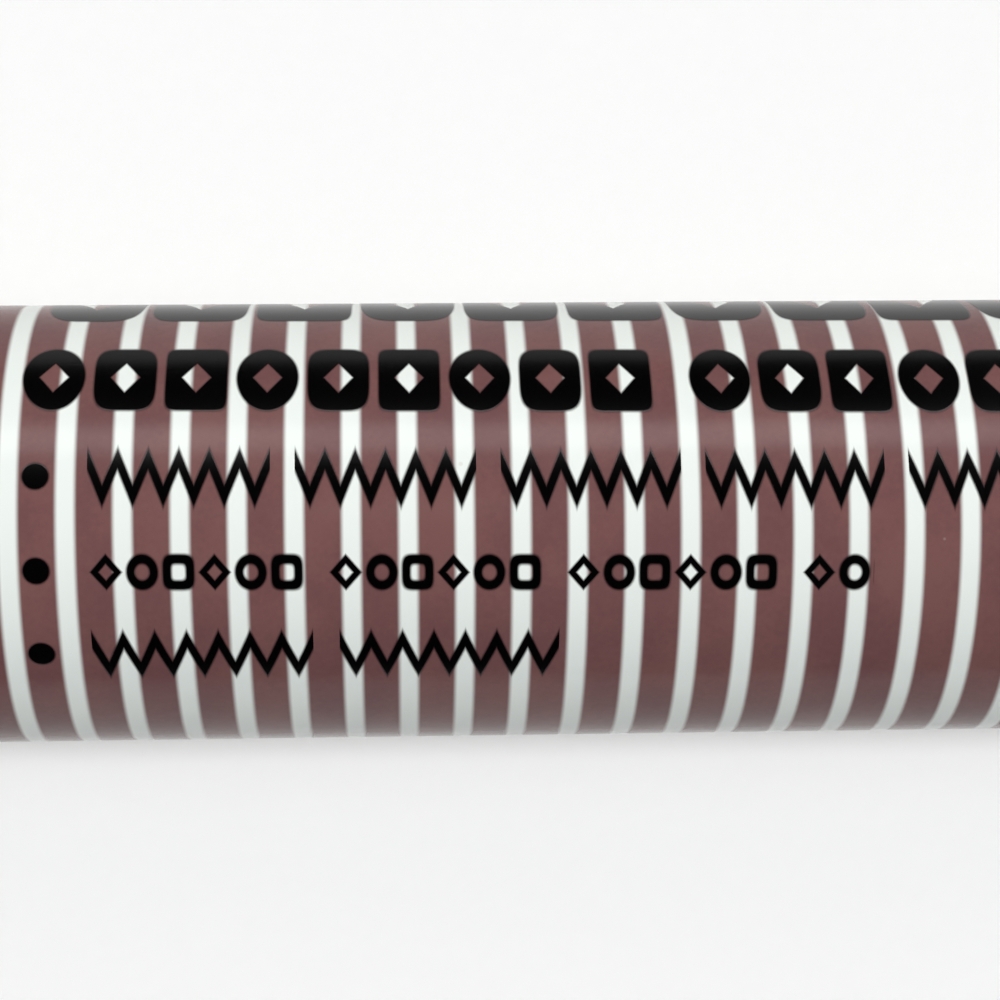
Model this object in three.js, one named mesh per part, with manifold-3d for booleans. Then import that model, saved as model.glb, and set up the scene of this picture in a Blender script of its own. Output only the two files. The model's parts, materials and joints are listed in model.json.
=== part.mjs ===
// A felt-tip permanent marker with its cap on, lying on a table.
// Lengths are millimetres. Every piece is turned about the marker's own axis, local Y, which starts at the
// flat tail end and grows towards the nib. The finished marker is laid along world X, tail face at the origin.
import * as THREE from "three";
import { mergeVertices } from "three/addons/utils/BufferGeometryUtils.js";
import Module from "manifold-3d";

const wasm = await Module();
wasm.setup();

// Barrel: a straight moulded tube, open at both ends, with ribs inside that centre the ink reservoir.
const BARREL_RADIUS = 6.25;
const BARREL_WALL = 1.0;
const BARREL_LENGTH = 84;
const BARREL_EDGE = 0.2;
const BARREL_RIBS = 6;
const BARREL_RIB_THICKNESS = 0.8;

// Fits between the pieces.
const PRESS_GAP = 0.05;
const SEAM = 0.05;
const RUNNING_GAP = 0.12;
const RESERVOIR_GAP = 0.08;
const RIB_TO_RESERVOIR = 0.2;
const ROOTED = 0.3;

// Snap beads that hold the two end pieces in the barrel, and the grooves that take them.
const SNAP_HEIGHT = 0.12;
const SNAP_WIDTH = 0.8;
const SNAP_FROM_MOUTH = 3.5;

// Sockets on the two end pieces that hold the ends of the ink reservoir.
const SKIRT_WALL = 0.65;
const RESERVOIR_GRIP = 3.5;

// End plug: a cup pressed into the tail, with a step that the cap can be pushed onto.
const POST_LENGTH = 8;
const POST_EDGE = 0.9;
const POST_BEAD_FROM_END = 2.4;
const PLUG_FLANGE = 1.6;
const PLUG_SKIRT = 9;
const PLUG_END_WALL = 1.2;
const PLUG_FINS = 4;
const PLUG_FIN_THICKNESS = 0.8;

// Nib holder: pressed into the front, with a collar, the neck for the cap, a sealing land and the nose.
const HOLDER_SKIRT = 10;
const COLLAR_LENGTH = 2;
const NECK_LENGTH = 10;
const NECK_CHAMFER = 0.4;
const HOLDER_WALL = 1.15;
const SEAL_RADIUS = 3.75;
const SEAL_LENGTH = 4.5;
const NOSE_LENGTH = 9;
const NOSE_STEP = 0.55;
const NOSE_WALL = 0.75;
const NOSE_EDGE = 0.5;
const SHOULDER_DEPTH = 1;
const HOLDER_RIBS = 6;
const HOLDER_RIB_THICKNESS = 0.7;
const AIR_GROOVES = 4;
const AIR_GROOVE_WIDTH = 0.6;
const AIR_GROOVE_DEPTH = 0.35;

// Bead on the neck and on the tail post that the cap clicks over.
const BEAD_WIDTH = 0.9;
const BEAD_FROM_COLLAR = 4;
const BEAD_TO_BORE = 0.03;
const NECK_GAP = 0.15;

// Nib: a bonded fibre rod with a bullet tip, pointed at the back, where it enters the reservoir.
const NIB_RADIUS = 1.5;
const NIB_PROTRUSION = 5;
const NIB_STRAIGHT = 1.8;
const NIB_TIP_RADIUS = 0.55;
const NIB_INTO_RESERVOIR = 4;
const NIB_BACK_POINT = 1.6;

// Reservoir: a fibre core in a plastic film, with a thin tube in a groove that lets air past it.
const FILM_WALL = 0.12;
const FILM_TO_CORE = 0.05;
const TUBE_RADIUS = 0.55;
const TUBE_WALL = 0.2;

// Cap: the outer shell, and an inner cap that seals on the nib holder so that the crown can be open to air.
const CAP_WALL = 1.05;
const CAP_RIM_GAP = 0.15;
const CAP_RIM_EDGE = 0.25;
const CROWN_TAPER = 0.3;
const CROWN_EDGE = 1.7;
const CROWN_WALL = 1.2;
const BEAD_GROOVE_DEPTH = 0.15;
const RETAINER_GAP = 0.2;
const RETAINER_WIDTH = 0.5;
const RETAINER_REACH = 0.45;
const FLANGE_GAP = 0.25;
const FLANGE_WIDTH = 1;
const CAP_RIBS = 6;
const CAP_RIB_THICKNESS = 0.7;
const FLUTES = 30;
const FLUTE_DEPTH = 0.22;
const FLUTE_FROM_RIM = 1.3;
const FLUTE_LENGTH = 6.5;
const VENTS = 3;
const VENT_CENTRE_RADIUS = 3.2;
const VENT_HALF_WIDTH = 0.7;
const VENT_HALF_SPAN = THREE.MathUtils.degToRad(8);
const RIB_HUB_RADIUS = 1.2;
const INNER_CAP_TO_CROWN = 5.6;

const INNER_CAP_WALL = 0.6;
const INNER_CAP_TAPER = 1.1;
const INNER_CAP_END_WALL = 0.8;
const SEAL_LIP_LENGTH = 2.4;
const SEAL_RELIEF = 0.2;
const NIB_AIR_SPACE = 2;

// Clip: a springy arm whose foot sits in a socket in a low boss on the shell.
const CLIP_LENGTH = 31;
const CLIP_SETBACK = 2.4;
const CLIP_ROOT_THICKNESS = 1.3;
const CLIP_ARM_THICKNESS = 1;
const CLIP_ROOT_WIDTH = 5.2;
const CLIP_TIP_WIDTH = 3.8;
const CLIP_ARM_GAP = 1.3;
const CLIP_BOW = 0.25;
const CLIP_PAD_LENGTH = 4.4;
const CLIP_PAD_GAP = 0.35;
const CLIP_TIP_LIFT = 0.7;
const CLIP_ROUNDING = 1.2;
const BOSS_LENGTH = 5.5;
const BOSS_HEIGHT = 1.2;
const FOOT_LENGTH = 3;
const FOOT_WIDTH = 2.8;
const FOOT_DEPTH = 1.4;
const FOOT_SETBACK = 1;
const FOOT_GAP = 0.2;

// Smoothness of the turned and rounded surfaces.
const SEGMENTS = 40;
const CLIP_SEGMENTS = 80;
const TUBE_SEGMENTS = 12;
const ROUND_STEPS = 3;
const FLUTE_STEPS = 4;

// Radii that follow from the sizes above.
const boreRadius = BARREL_RADIUS - BARREL_WALL;
const skirtRadius = boreRadius - PRESS_GAP;
const socketRadius = skirtRadius - SKIRT_WALL;
const filmRadius = socketRadius - RESERVOIR_GAP;
const coreRadius = filmRadius - FILM_WALL - FILM_TO_CORE;
const capBore = BARREL_RADIUS - CAP_WALL;
const neckRadius = capBore - NECK_GAP;
const beadRadius = capBore - BEAD_TO_BORE;
const chamberRadius = neckRadius - HOLDER_WALL;
const nibBore = NIB_RADIUS + PRESS_GAP;
const noseRadius = nibBore + NOSE_WALL;
const crownRadius = BARREL_RADIUS - CROWN_TAPER;
const crownBore = crownRadius - CAP_WALL;
const sealLipRadius = SEAL_RADIUS + PRESS_GAP;
const flangeRadius = capBore - FLANGE_GAP;
const retainerRadius = capBore - RETAINER_REACH;
const cupBore = sealLipRadius + SEAL_RELIEF;
const cupRadius = cupBore + INNER_CAP_WALL;
const cupEndBore = cupBore - INNER_CAP_TAPER;
const cupEndRadius = cupEndBore + INNER_CAP_WALL;
const filmBore = filmRadius - FILM_WALL;
const tubeCentre = filmBore - FILM_TO_CORE - TUBE_RADIUS;

// Places along the axis that follow from the sizes above.
const barrelStart = POST_LENGTH + PLUG_FLANGE + SEAM;
const barrelEnd = barrelStart + BARREL_LENGTH;
const collarStart = barrelEnd + SEAM;
const neckStart = collarStart + COLLAR_LENGTH;
const neckEnd = neckStart + NECK_LENGTH;
const sealEnd = neckEnd + SEAL_LENGTH;
const noseEnd = sealEnd + NOSE_LENGTH;
const nibTip = noseEnd + NIB_PROTRUSION;
const reservoirFront = collarStart - SHOULDER_DEPTH - SEAM;
const plugSkirtEnd = barrelStart + PLUG_SKIRT;
const reservoirBack = plugSkirtEnd - RESERVOIR_GRIP + SEAM;
const capStart = neckStart + CAP_RIM_GAP;
const retainerStart = neckEnd + RETAINER_GAP;
const flangeStart = retainerStart + RETAINER_WIDTH + RUNNING_GAP;
const flangeEnd = flangeStart + FLANGE_WIDTH;
const capRibStart = flangeEnd + RUNNING_GAP;
const innerCapEnd = nibTip + NIB_AIR_SPACE;
const innerCapOuterEnd = innerCapEnd + INNER_CAP_END_WALL;
const crownInside = innerCapOuterEnd + INNER_CAP_TO_CROWN;
const capEnd = crownInside + CROWN_WALL;

// A path through corners [x, y, rounding]; a corner with a rounding becomes a curve between its two edges.
function drawn(corners, closed = false) {
  const path = new THREE.Shape();
  const count = corners.length;
  corners.forEach(([x, y, rounding = 0], i) => {
    const corner = new THREE.Vector2(x, y);
    const before = new THREE.Vector2(...corners[(i + count - 1) % count].slice(0, 2)).sub(corner);
    const after = new THREE.Vector2(...corners[(i + 1) % count].slice(0, 2)).sub(corner);
    const reach = Math.min(rounding, 0.45 * before.length(), 0.45 * after.length());
    const start = before.setLength(reach).add(corner);
    if (i === 0) path.moveTo(start.x, start.y);
    else path.lineTo(start.x, start.y);
    if (reach > 0) {
      const end = after.setLength(reach).add(corner);
      path.quadraticCurveTo(x, y, end.x, end.y);
    }
  });
  if (closed) path.closePath();
  return path;
}

// A closed geometry as a solid that can be joined and cut.
function solid(geometry) {
  const bare = geometry.index ? geometry.toNonIndexed() : geometry.clone();
  bare.deleteAttribute("normal");
  bare.deleteAttribute("uv");
  const merged = mergeVertices(bare, 1e-4);
  const vertProperties = new Float32Array(merged.attributes.position.array);
  const triVerts = new Uint32Array(merged.index.array);
  return new wasm.Manifold(new wasm.Mesh({ numProp: 3, vertProperties, triVerts }));
}

// A solid of corners [radius, height, rounding] turned about the axis, with a flat facing straight down.
function turned(corners, { closed = false, segments = SEGMENTS } = {}) {
  const points = drawn(corners, closed).getPoints(ROUND_STEPS);
  return solid(new THREE.LatheGeometry(points, segments, Math.PI / segments, 2 * Math.PI));
}

// A radial plate of the given thickness, with corners [radius, height]. At angle 0 it stands on the +Z side.
function plate(corners, thickness, angle = 0) {
  const geometry = new THREE.ExtrudeGeometry(drawn(corners, true), { depth: thickness, bevelEnabled: false });
  geometry.translate(0, 0, -thickness / 2);
  geometry.rotateY(angle - Math.PI / 2);
  return solid(geometry);
}

// Copies of one piece spread evenly about the axis.
function spread(count, make) {
  return Array.from({ length: count }, (_, i) => make((2 * Math.PI * i) / count));
}

function join(body, ...additions) {
  return additions.reduce((sum, addition) => sum.add(addition), body);
}

function cut(body, ...tools) {
  return tools.reduce((rest, tool) => rest.subtract(tool), body);
}

// A named mesh of a solid.
function piece(name, body, { color, roughness, metalness = 0 }) {
  const { vertProperties, triVerts } = body.getMesh();
  const geometry = new THREE.BufferGeometry();
  geometry.setAttribute("position", new THREE.BufferAttribute(new Float32Array(vertProperties), 3));
  geometry.setIndex(new THREE.BufferAttribute(new Uint32Array(triVerts), 1));
  const faceted = geometry.toNonIndexed();
  faceted.computeVertexNormals();
  const mesh = new THREE.Mesh(faceted, new THREE.MeshStandardMaterial({ color, roughness, metalness }));
  mesh.name = name;
  return mesh;
}

const PRINTED_WHITE = { color: 0x7f5a58, roughness: 0.3 };
const CAP_PLASTIC = { color: 0x5a3434, roughness: 0.28 };
const HOLDER_PLASTIC = { color: 0xe9e7e0, roughness: 0.4 };
const SEAL_PLASTIC = { color: 0xf1efe6, roughness: 0.5 };
const FELT = { color: 0x3a2022, roughness: 0.95 };
const FILM = { color: 0xdedad2, roughness: 0.2 };

// A snap bead is a low ridge with sloping sides, centred on a height.
function ridge(radius, height, centre, width) {
  const half = width / 2;
  return [
    [radius, centre - half],
    [radius + height, centre - half / 2],
    [radius + height, centre + half / 2],
    [radius, centre + half],
  ];
}

function barrel() {
  const grooveHeight = SNAP_HEIGHT + PRESS_GAP;
  const frontSnap = barrelEnd - SNAP_FROM_MOUTH;
  const backSnap = barrelStart + SNAP_FROM_MOUTH;
  const groove = (centre) => ridge(boreRadius, grooveHeight, centre, SNAP_WIDTH + 2 * PRESS_GAP);
  const tube = turned(
    [
      [boreRadius + BARREL_EDGE, barrelStart],
      [BARREL_RADIUS - BARREL_EDGE, barrelStart],
      [BARREL_RADIUS, barrelStart + BARREL_EDGE],
      [BARREL_RADIUS, barrelEnd - BARREL_EDGE],
      [BARREL_RADIUS - BARREL_EDGE, barrelEnd],
      [boreRadius + BARREL_EDGE, barrelEnd],
      [boreRadius, barrelEnd - BARREL_EDGE],
      ...groove(frontSnap).reverse(),
      ...groove(backSnap).reverse(),
      [boreRadius, barrelStart + BARREL_EDGE],
    ],
    { closed: true },
  );
  const ribStart = plugSkirtEnd + SEAM;
  const ribEnd = collarStart - HOLDER_SKIRT - SEAM;
  const ribInner = filmRadius + RIB_TO_RESERVOIR;
  const rib = [
    [ribInner, ribStart],
    [boreRadius + ROOTED, ribStart],
    [boreRadius + ROOTED, ribEnd],
    [ribInner, ribEnd],
  ];
  return join(tube, ...spread(BARREL_RIBS, (angle) => plate(rib, BARREL_RIB_THICKNESS, angle)));
}

function endPlug() {
  const cup = turned([
    [0, 0],
    [neckRadius, 0, POST_EDGE],
    ...ridge(neckRadius, beadRadius - neckRadius, POST_BEAD_FROM_END, BEAD_WIDTH),
    [neckRadius, POST_LENGTH],
    [BARREL_RADIUS - BARREL_EDGE, POST_LENGTH],
    [BARREL_RADIUS, POST_LENGTH + BARREL_EDGE],
    [BARREL_RADIUS, POST_LENGTH + PLUG_FLANGE - BARREL_EDGE],
    [BARREL_RADIUS - BARREL_EDGE, POST_LENGTH + PLUG_FLANGE],
    [skirtRadius, POST_LENGTH + PLUG_FLANGE],
    ...ridge(skirtRadius, SNAP_HEIGHT, barrelStart + SNAP_FROM_MOUTH, SNAP_WIDTH),
    [skirtRadius, plugSkirtEnd, BARREL_EDGE],
    [socketRadius, plugSkirtEnd],
    [socketRadius, plugSkirtEnd - RESERVOIR_GRIP],
    [chamberRadius, plugSkirtEnd - RESERVOIR_GRIP],
    [chamberRadius, PLUG_END_WALL, BARREL_EDGE],
    [0, PLUG_END_WALL],
  ]);
  const fin = [
    [0, PLUG_END_WALL - ROOTED],
    [chamberRadius + ROOTED, PLUG_END_WALL - ROOTED],
    [chamberRadius + ROOTED, plugSkirtEnd - RESERVOIR_GRIP],
    [0, plugSkirtEnd - RESERVOIR_GRIP],
  ];
  return join(cup, ...spread(PLUG_FINS, (angle) => plate(fin, PLUG_FIN_THICKNESS, angle)));
}

function nibHolder() {
  const shoulder = collarStart - SHOULDER_DEPTH;
  const noseChamber = SEAL_RADIUS - HOLDER_WALL;
  const skirtStart = collarStart - HOLDER_SKIRT;
  const body = turned(
    [
      [socketRadius, skirtStart],
      [skirtRadius, skirtStart, BARREL_EDGE],
      ...ridge(skirtRadius, SNAP_HEIGHT, barrelEnd - SNAP_FROM_MOUTH, SNAP_WIDTH),
      [skirtRadius, collarStart],
      [BARREL_RADIUS - BARREL_EDGE, collarStart],
      [BARREL_RADIUS, collarStart + BARREL_EDGE],
      [BARREL_RADIUS, neckStart - BARREL_EDGE],
      [BARREL_RADIUS - BARREL_EDGE, neckStart],
      [neckRadius, neckStart],
      ...ridge(neckRadius, beadRadius - neckRadius, neckStart + BEAD_FROM_COLLAR, BEAD_WIDTH),
      [neckRadius, neckEnd - NECK_CHAMFER],
      [neckRadius - NECK_CHAMFER, neckEnd],
      [SEAL_RADIUS, neckEnd],
      [SEAL_RADIUS, sealEnd, NOSE_STEP],
      [SEAL_RADIUS - NOSE_STEP, sealEnd + NOSE_STEP],
      [noseRadius, noseEnd, NOSE_EDGE],
      [nibBore, noseEnd],
      [nibBore, sealEnd - HOLDER_WALL],
      [noseChamber, sealEnd - HOLDER_WALL],
      [noseChamber, neckEnd - HOLDER_WALL],
      [chamberRadius, neckEnd - HOLDER_WALL],
      [chamberRadius, shoulder],
      [socketRadius, shoulder],
    ],
    { closed: true },
  );
  const rib = [
    [nibBore, shoulder + SHOULDER_DEPTH],
    [chamberRadius + ROOTED, shoulder + SHOULDER_DEPTH],
    [chamberRadius + ROOTED, neckEnd - HOLDER_WALL + ROOTED],
    [noseChamber + ROOTED, neckEnd - HOLDER_WALL + ROOTED],
    [noseChamber + ROOTED, sealEnd - HOLDER_WALL + ROOTED],
    [nibBore, sealEnd - HOLDER_WALL + ROOTED],
  ];
  const groove = [
    [nibBore - ROOTED, sealEnd - HOLDER_WALL - ROOTED],
    [nibBore + AIR_GROOVE_DEPTH, sealEnd - HOLDER_WALL - ROOTED],
    [nibBore + AIR_GROOVE_DEPTH, noseEnd + ROOTED],
    [nibBore - ROOTED, noseEnd + ROOTED],
  ];
  const ribs = spread(HOLDER_RIBS, (angle) => plate(rib, HOLDER_RIB_THICKNESS, angle));
  const turn = Math.PI / AIR_GROOVES;
  const grooves = spread(AIR_GROOVES, (angle) => plate(groove, AIR_GROOVE_WIDTH, angle + turn));
  return cut(join(body, ...ribs), ...grooves);
}

function nib() {
  const back = reservoirFront - NIB_INTO_RESERVOIR;
  return turned([
    [0, back],
    [NIB_RADIUS, back + NIB_BACK_POINT],
    [NIB_RADIUS, noseEnd + NIB_STRAIGHT, NIB_TIP_RADIUS],
    [NIB_TIP_RADIUS, nibTip, NIB_TIP_RADIUS],
    [0, nibTip],
  ]);
}

// A straight-sided ring or rod between two heights.
function sleeve(inner, outer, start, end, segments = SEGMENTS) {
  const corners = [
    [inner, start],
    [outer, start],
    [outer, end],
    [inner, end],
  ];
  return turned(corners, { closed: inner > 0, segments });
}

function reservoirCore() {
  const back = reservoirFront - NIB_INTO_RESERVOIR - PRESS_GAP;
  const rod = turned([
    [0, reservoirBack],
    [coreRadius, reservoirBack],
    [coreRadius, reservoirFront],
    [nibBore, reservoirFront],
    [nibBore, back + NIB_BACK_POINT],
    [0, back],
  ]);
  const grooveRadius = TUBE_RADIUS + FILM_TO_CORE;
  const groove = sleeve(0, grooveRadius, reservoirBack - ROOTED, reservoirFront + ROOTED, TUBE_SEGMENTS);
  return cut(rod, groove.translate([tubeCentre, 0, 0]));
}

function reservoirFilm() {
  return sleeve(filmBore, filmRadius, reservoirBack, reservoirFront);
}

function breatherTube() {
  const bore = TUBE_RADIUS - TUBE_WALL;
  const tube = sleeve(bore, TUBE_RADIUS, reservoirBack, reservoirFront, TUBE_SEGMENTS);
  return tube.translate([tubeCentre, 0, 0]);
}

function innerCap() {
  return turned([
    [0, innerCapEnd],
    [cupEndBore, innerCapEnd, INNER_CAP_TAPER],
    [cupBore, sealEnd],
    [cupBore, flangeStart + SEAL_LIP_LENGTH + SEAL_RELIEF],
    [sealLipRadius, flangeStart + SEAL_LIP_LENGTH],
    [sealLipRadius, flangeStart + SEAL_RELIEF],
    [cupBore, flangeStart],
    [flangeRadius, flangeStart],
    [flangeRadius, flangeEnd],
    [cupRadius, flangeEnd],
    [cupRadius, sealEnd],
    [cupEndRadius, innerCapOuterEnd, INNER_CAP_TAPER],
    [0, innerCapOuterEnd],
  ]);
}

// A slot with round ends that follows a circle about the axis, through the crown.
function vent(angle) {
  const inner = VENT_CENTRE_RADIUS - VENT_HALF_WIDTH;
  const outer = VENT_CENTRE_RADIUS + VENT_HALF_WIDTH;
  const endX = VENT_CENTRE_RADIUS * Math.cos(VENT_HALF_SPAN);
  const endY = VENT_CENTRE_RADIUS * Math.sin(VENT_HALF_SPAN);
  const shape = new THREE.Shape();
  shape.absarc(0, 0, outer, -VENT_HALF_SPAN, VENT_HALF_SPAN, false);
  shape.absarc(endX, endY, VENT_HALF_WIDTH, VENT_HALF_SPAN, VENT_HALF_SPAN + Math.PI, false);
  shape.absarc(0, 0, inner, VENT_HALF_SPAN, -VENT_HALF_SPAN, true);
  shape.absarc(endX, -endY, VENT_HALF_WIDTH, Math.PI - VENT_HALF_SPAN, 2 * Math.PI - VENT_HALF_SPAN, false);
  const geometry = new THREE.ExtrudeGeometry(shape, {
    depth: CROWN_WALL + 2 * ROOTED,
    bevelEnabled: false,
    curveSegments: 2 * ROUND_STEPS,
  });
  geometry.rotateX(-Math.PI / 2);
  geometry.rotateY(angle - Math.PI / 2);
  geometry.translate(0, crownInside - ROOTED, 0);
  return solid(geometry);
}

// The band of grip flutes: everything outside a scalloped outline, over the length of the band.
function fluteCutter() {
  const clear = BARREL_RADIUS + FLUTE_DEPTH;
  const steps = FLUTES * FLUTE_STEPS;
  const outline = new THREE.Shape();
  outline.absarc(0, 0, clear, 0, 2 * Math.PI, false);
  const scallops = Array.from({ length: steps }, (_, i) => {
    const angle = (2 * Math.PI * i) / steps;
    const radius = BARREL_RADIUS - (FLUTE_DEPTH * (1 - Math.cos(FLUTES * angle))) / 2;
    return new THREE.Vector2(radius * Math.cos(angle), radius * Math.sin(angle));
  });
  outline.holes.push(new THREE.Path(scallops));
  const geometry = new THREE.ExtrudeGeometry(outline, {
    depth: FLUTE_LENGTH,
    bevelEnabled: false,
    curveSegments: SEGMENTS,
  });
  geometry.rotateX(-Math.PI / 2);
  geometry.translate(0, capStart + FLUTE_FROM_RIM, 0);
  return solid(geometry);
}

// The boss that carries the clip, and the socket in it, both on the local +Z side.
const bossFront = capEnd - CLIP_SETBACK;
const bossTop = crownRadius + BOSS_HEIGHT;
const footFront = bossFront - FOOT_SETBACK;

function block(width, back, front, bottom, top, rounding = 0) {
  const geometry = new THREE.ExtrudeGeometry(
    drawn(
      [
        [-width / 2, back, rounding],
        [width / 2, back, rounding],
        [width / 2, front, rounding],
        [-width / 2, front, rounding],
      ],
      true,
    ),
    { depth: top - bottom, bevelEnabled: false, curveSegments: ROUND_STEPS },
  );
  geometry.translate(0, 0, bottom);
  return solid(geometry);
}

function capShell() {
  const grooveCentre = neckStart + BEAD_FROM_COLLAR;
  const groove = ridge(capBore, BEAD_GROOVE_DEPTH, grooveCentre, BEAD_WIDTH + 2 * RUNNING_GAP);
  const shell = turned([
    [0, crownInside],
    [crownBore, crownInside, CROWN_EDGE],
    [capBore, flangeEnd],
    [capBore, retainerStart + RETAINER_WIDTH],
    [retainerRadius, retainerStart + RETAINER_WIDTH],
    [retainerRadius, retainerStart],
    [capBore, retainerStart],
    ...groove.reverse(),
    [capBore, capStart + CAP_RIM_EDGE],
    [capBore + CAP_RIM_EDGE, capStart],
    [BARREL_RADIUS, capStart, CAP_RIM_EDGE],
    [BARREL_RADIUS, capStart + FLUTE_FROM_RIM + FLUTE_LENGTH],
    [crownRadius, capEnd, CROWN_EDGE],
    [0, capEnd],
  ]);
  const bossBack = bossFront - BOSS_LENGTH;
  const boss = block(CLIP_ROOT_WIDTH, bossBack, bossFront, crownBore + ROOTED, bossTop, CLIP_ROUNDING);
  const bossLimit = sleeve(0, bossTop, bossBack, bossFront, CLIP_SEGMENTS);
  const socket = block(
    FOOT_WIDTH + 2 * FOOT_GAP,
    footFront - FOOT_LENGTH - FOOT_GAP,
    footFront + FOOT_GAP,
    bossTop - FOOT_DEPTH - FOOT_GAP,
    bossTop + ROOTED,
  );
  const rib = [
    [cupRadius + RUNNING_GAP, capRibStart],
    [capBore + ROOTED, capRibStart],
    [crownBore + ROOTED, crownInside + ROOTED],
    [RIB_HUB_RADIUS, crownInside + ROOTED],
    [RIB_HUB_RADIUS, innerCapOuterEnd + RUNNING_GAP],
    [cupEndRadius + RUNNING_GAP, innerCapOuterEnd + RUNNING_GAP],
    [cupRadius + RUNNING_GAP, sealEnd],
  ];
  const ribs = spread(CAP_RIBS, (angle) => plate(rib, CAP_RIB_THICKNESS, angle + Math.PI / CAP_RIBS));
  const vents = spread(VENTS, (angle) => vent(angle));
  return cut(join(shell, boss.intersect(bossLimit), ...ribs), socket, fluteCutter(), ...vents);
}

// The clip's side view is turned about the axis, so that the clip is curved like the cap, and is then
// trimmed to its outline from above. Its root lies on the boss.
function clip() {
  const rootBottom = bossTop + RUNNING_GAP;
  const rootTop = rootBottom + CLIP_ROOT_THICKNESS;
  const rootBack = bossFront - BOSS_LENGTH;
  const armInner = BARREL_RADIUS + CLIP_ARM_GAP;
  const padInner = BARREL_RADIUS + CLIP_PAD_GAP;
  const tip = bossFront - CLIP_LENGTH;
  const padEnd = tip + CLIP_PAD_LENGTH;
  const armMiddle = (rootBack + padEnd) / 2;
  const side = turned(
    [
      [padInner, tip + CLIP_PAD_LENGTH / 2, CLIP_ROUNDING],
      [padInner + CLIP_TIP_LIFT, tip, CLIP_TIP_LIFT],
      [armInner + CLIP_ARM_THICKNESS, tip, CLIP_ARM_THICKNESS],
      [armInner + CLIP_BOW + CLIP_ARM_THICKNESS, armMiddle, BOSS_LENGTH],
      [rootTop, bossFront, CLIP_ROOT_THICKNESS],
      [rootBottom, bossFront],
      [rootBottom, rootBack, CLIP_ROUNDING],
      [armInner + CLIP_BOW, armMiddle, BOSS_LENGTH],
      [armInner, padEnd, CLIP_ROUNDING],
    ],
    { closed: true, segments: CLIP_SEGMENTS },
  );
  const plan = new THREE.ExtrudeGeometry(
    drawn(
      [
        [-CLIP_TIP_WIDTH / 2, tip, CLIP_TIP_WIDTH / 2],
        [CLIP_TIP_WIDTH / 2, tip, CLIP_TIP_WIDTH / 2],
        [CLIP_ROOT_WIDTH / 2, bossFront, CLIP_ROUNDING],
        [-CLIP_ROOT_WIDTH / 2, bossFront, CLIP_ROUNDING],
      ],
      true,
    ),
    { depth: 2 * BARREL_RADIUS, bevelEnabled: false, curveSegments: 2 * ROUND_STEPS },
  );
  const arm = side.intersect(solid(plan));
  const foot = block(FOOT_WIDTH, footFront - FOOT_LENGTH, footFront, bossTop - FOOT_DEPTH, rootTop - ROOTED);
  return join(arm, foot);
}

// The angle from straight down at which the clip just leans on the surface that the barrel's flat lies on.
function leaningAngle({ geometry }) {
  const restHeight = BARREL_RADIUS * Math.cos(Math.PI / SEGMENTS);
  const { array } = geometry.attributes.position;
  let leaning = 0;
  for (let i = 0; i < array.length; i += 3) {
    const [across, , out] = array.slice(i, i + 3);
    const reach = Math.hypot(across, out);
    if (reach > restHeight) {
      leaning = Math.max(leaning, Math.acos(restHeight / reach) - Math.atan2(across, out));
    }
  }
  return leaning;
}

const clipMesh = piece("clip", clip(), CAP_PLASTIC);
const clipAngle = leaningAngle(clipMesh);

// The cap is turned so that the clip points down and to the front, and stops the marker rolling.
const cap = new THREE.Group();
cap.add(piece("cap_shell", capShell(), CAP_PLASTIC), clipMesh);
cap.rotation.y = Math.PI + clipAngle;

const marker = new THREE.Group();
marker.add(
  piece("barrel", barrel(), PRINTED_WHITE),
  piece("end_plug", endPlug(), CAP_PLASTIC),
  piece("nib_holder", nibHolder(), HOLDER_PLASTIC),
  piece("nib", nib(), FELT),
  piece("reservoir_core", reservoirCore(), FELT),
  piece("reservoir_film", reservoirFilm(), FILM),
  piece("breather_tube", breatherTube(), FILM),
  piece("inner_cap", innerCap(), SEAL_PLASTIC),
  cap,
);

// Laid along world X: the tail face looks along +X and the cap points along -X.
marker.rotation.z = Math.PI / 2;

// The clip bends about the front edge of its root, across the marker.
marker.updateMatrixWorld(true);
const hingePlace = cap.localToWorld(new THREE.Vector3(0, bossFront, bossTop));
const hingeAxis = new THREE.Vector3(1, 0, 0).transformDirection(cap.matrixWorld);
console.log("overall length", capEnd.toFixed(3));
console.log("clip leans at", THREE.MathUtils.radToDeg(clipAngle).toFixed(3), "degrees from straight down");
console.log("clip hinge at", hingePlace.toArray().map((v) => v.toFixed(4)).join(" "));
console.log("clip hinge axis", hingeAxis.toArray().map((v) => v.toFixed(6)).join(" "));

export default marker;
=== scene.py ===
# %% [markdown]
# # A capped permanent marker on white paper
#
# The marker is a straight plastic tube, printed with mauve-brown bands and black marks. A cap with a pocket
# clip closes one end and a plug closes the other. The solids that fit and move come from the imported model,
# loaded here as a fixed frame. Each piece that shows is modelled again in its place, round and smooth.

# %% Load the frame
import json
import math

import bpy
from mathutils import Matrix, Vector

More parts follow.
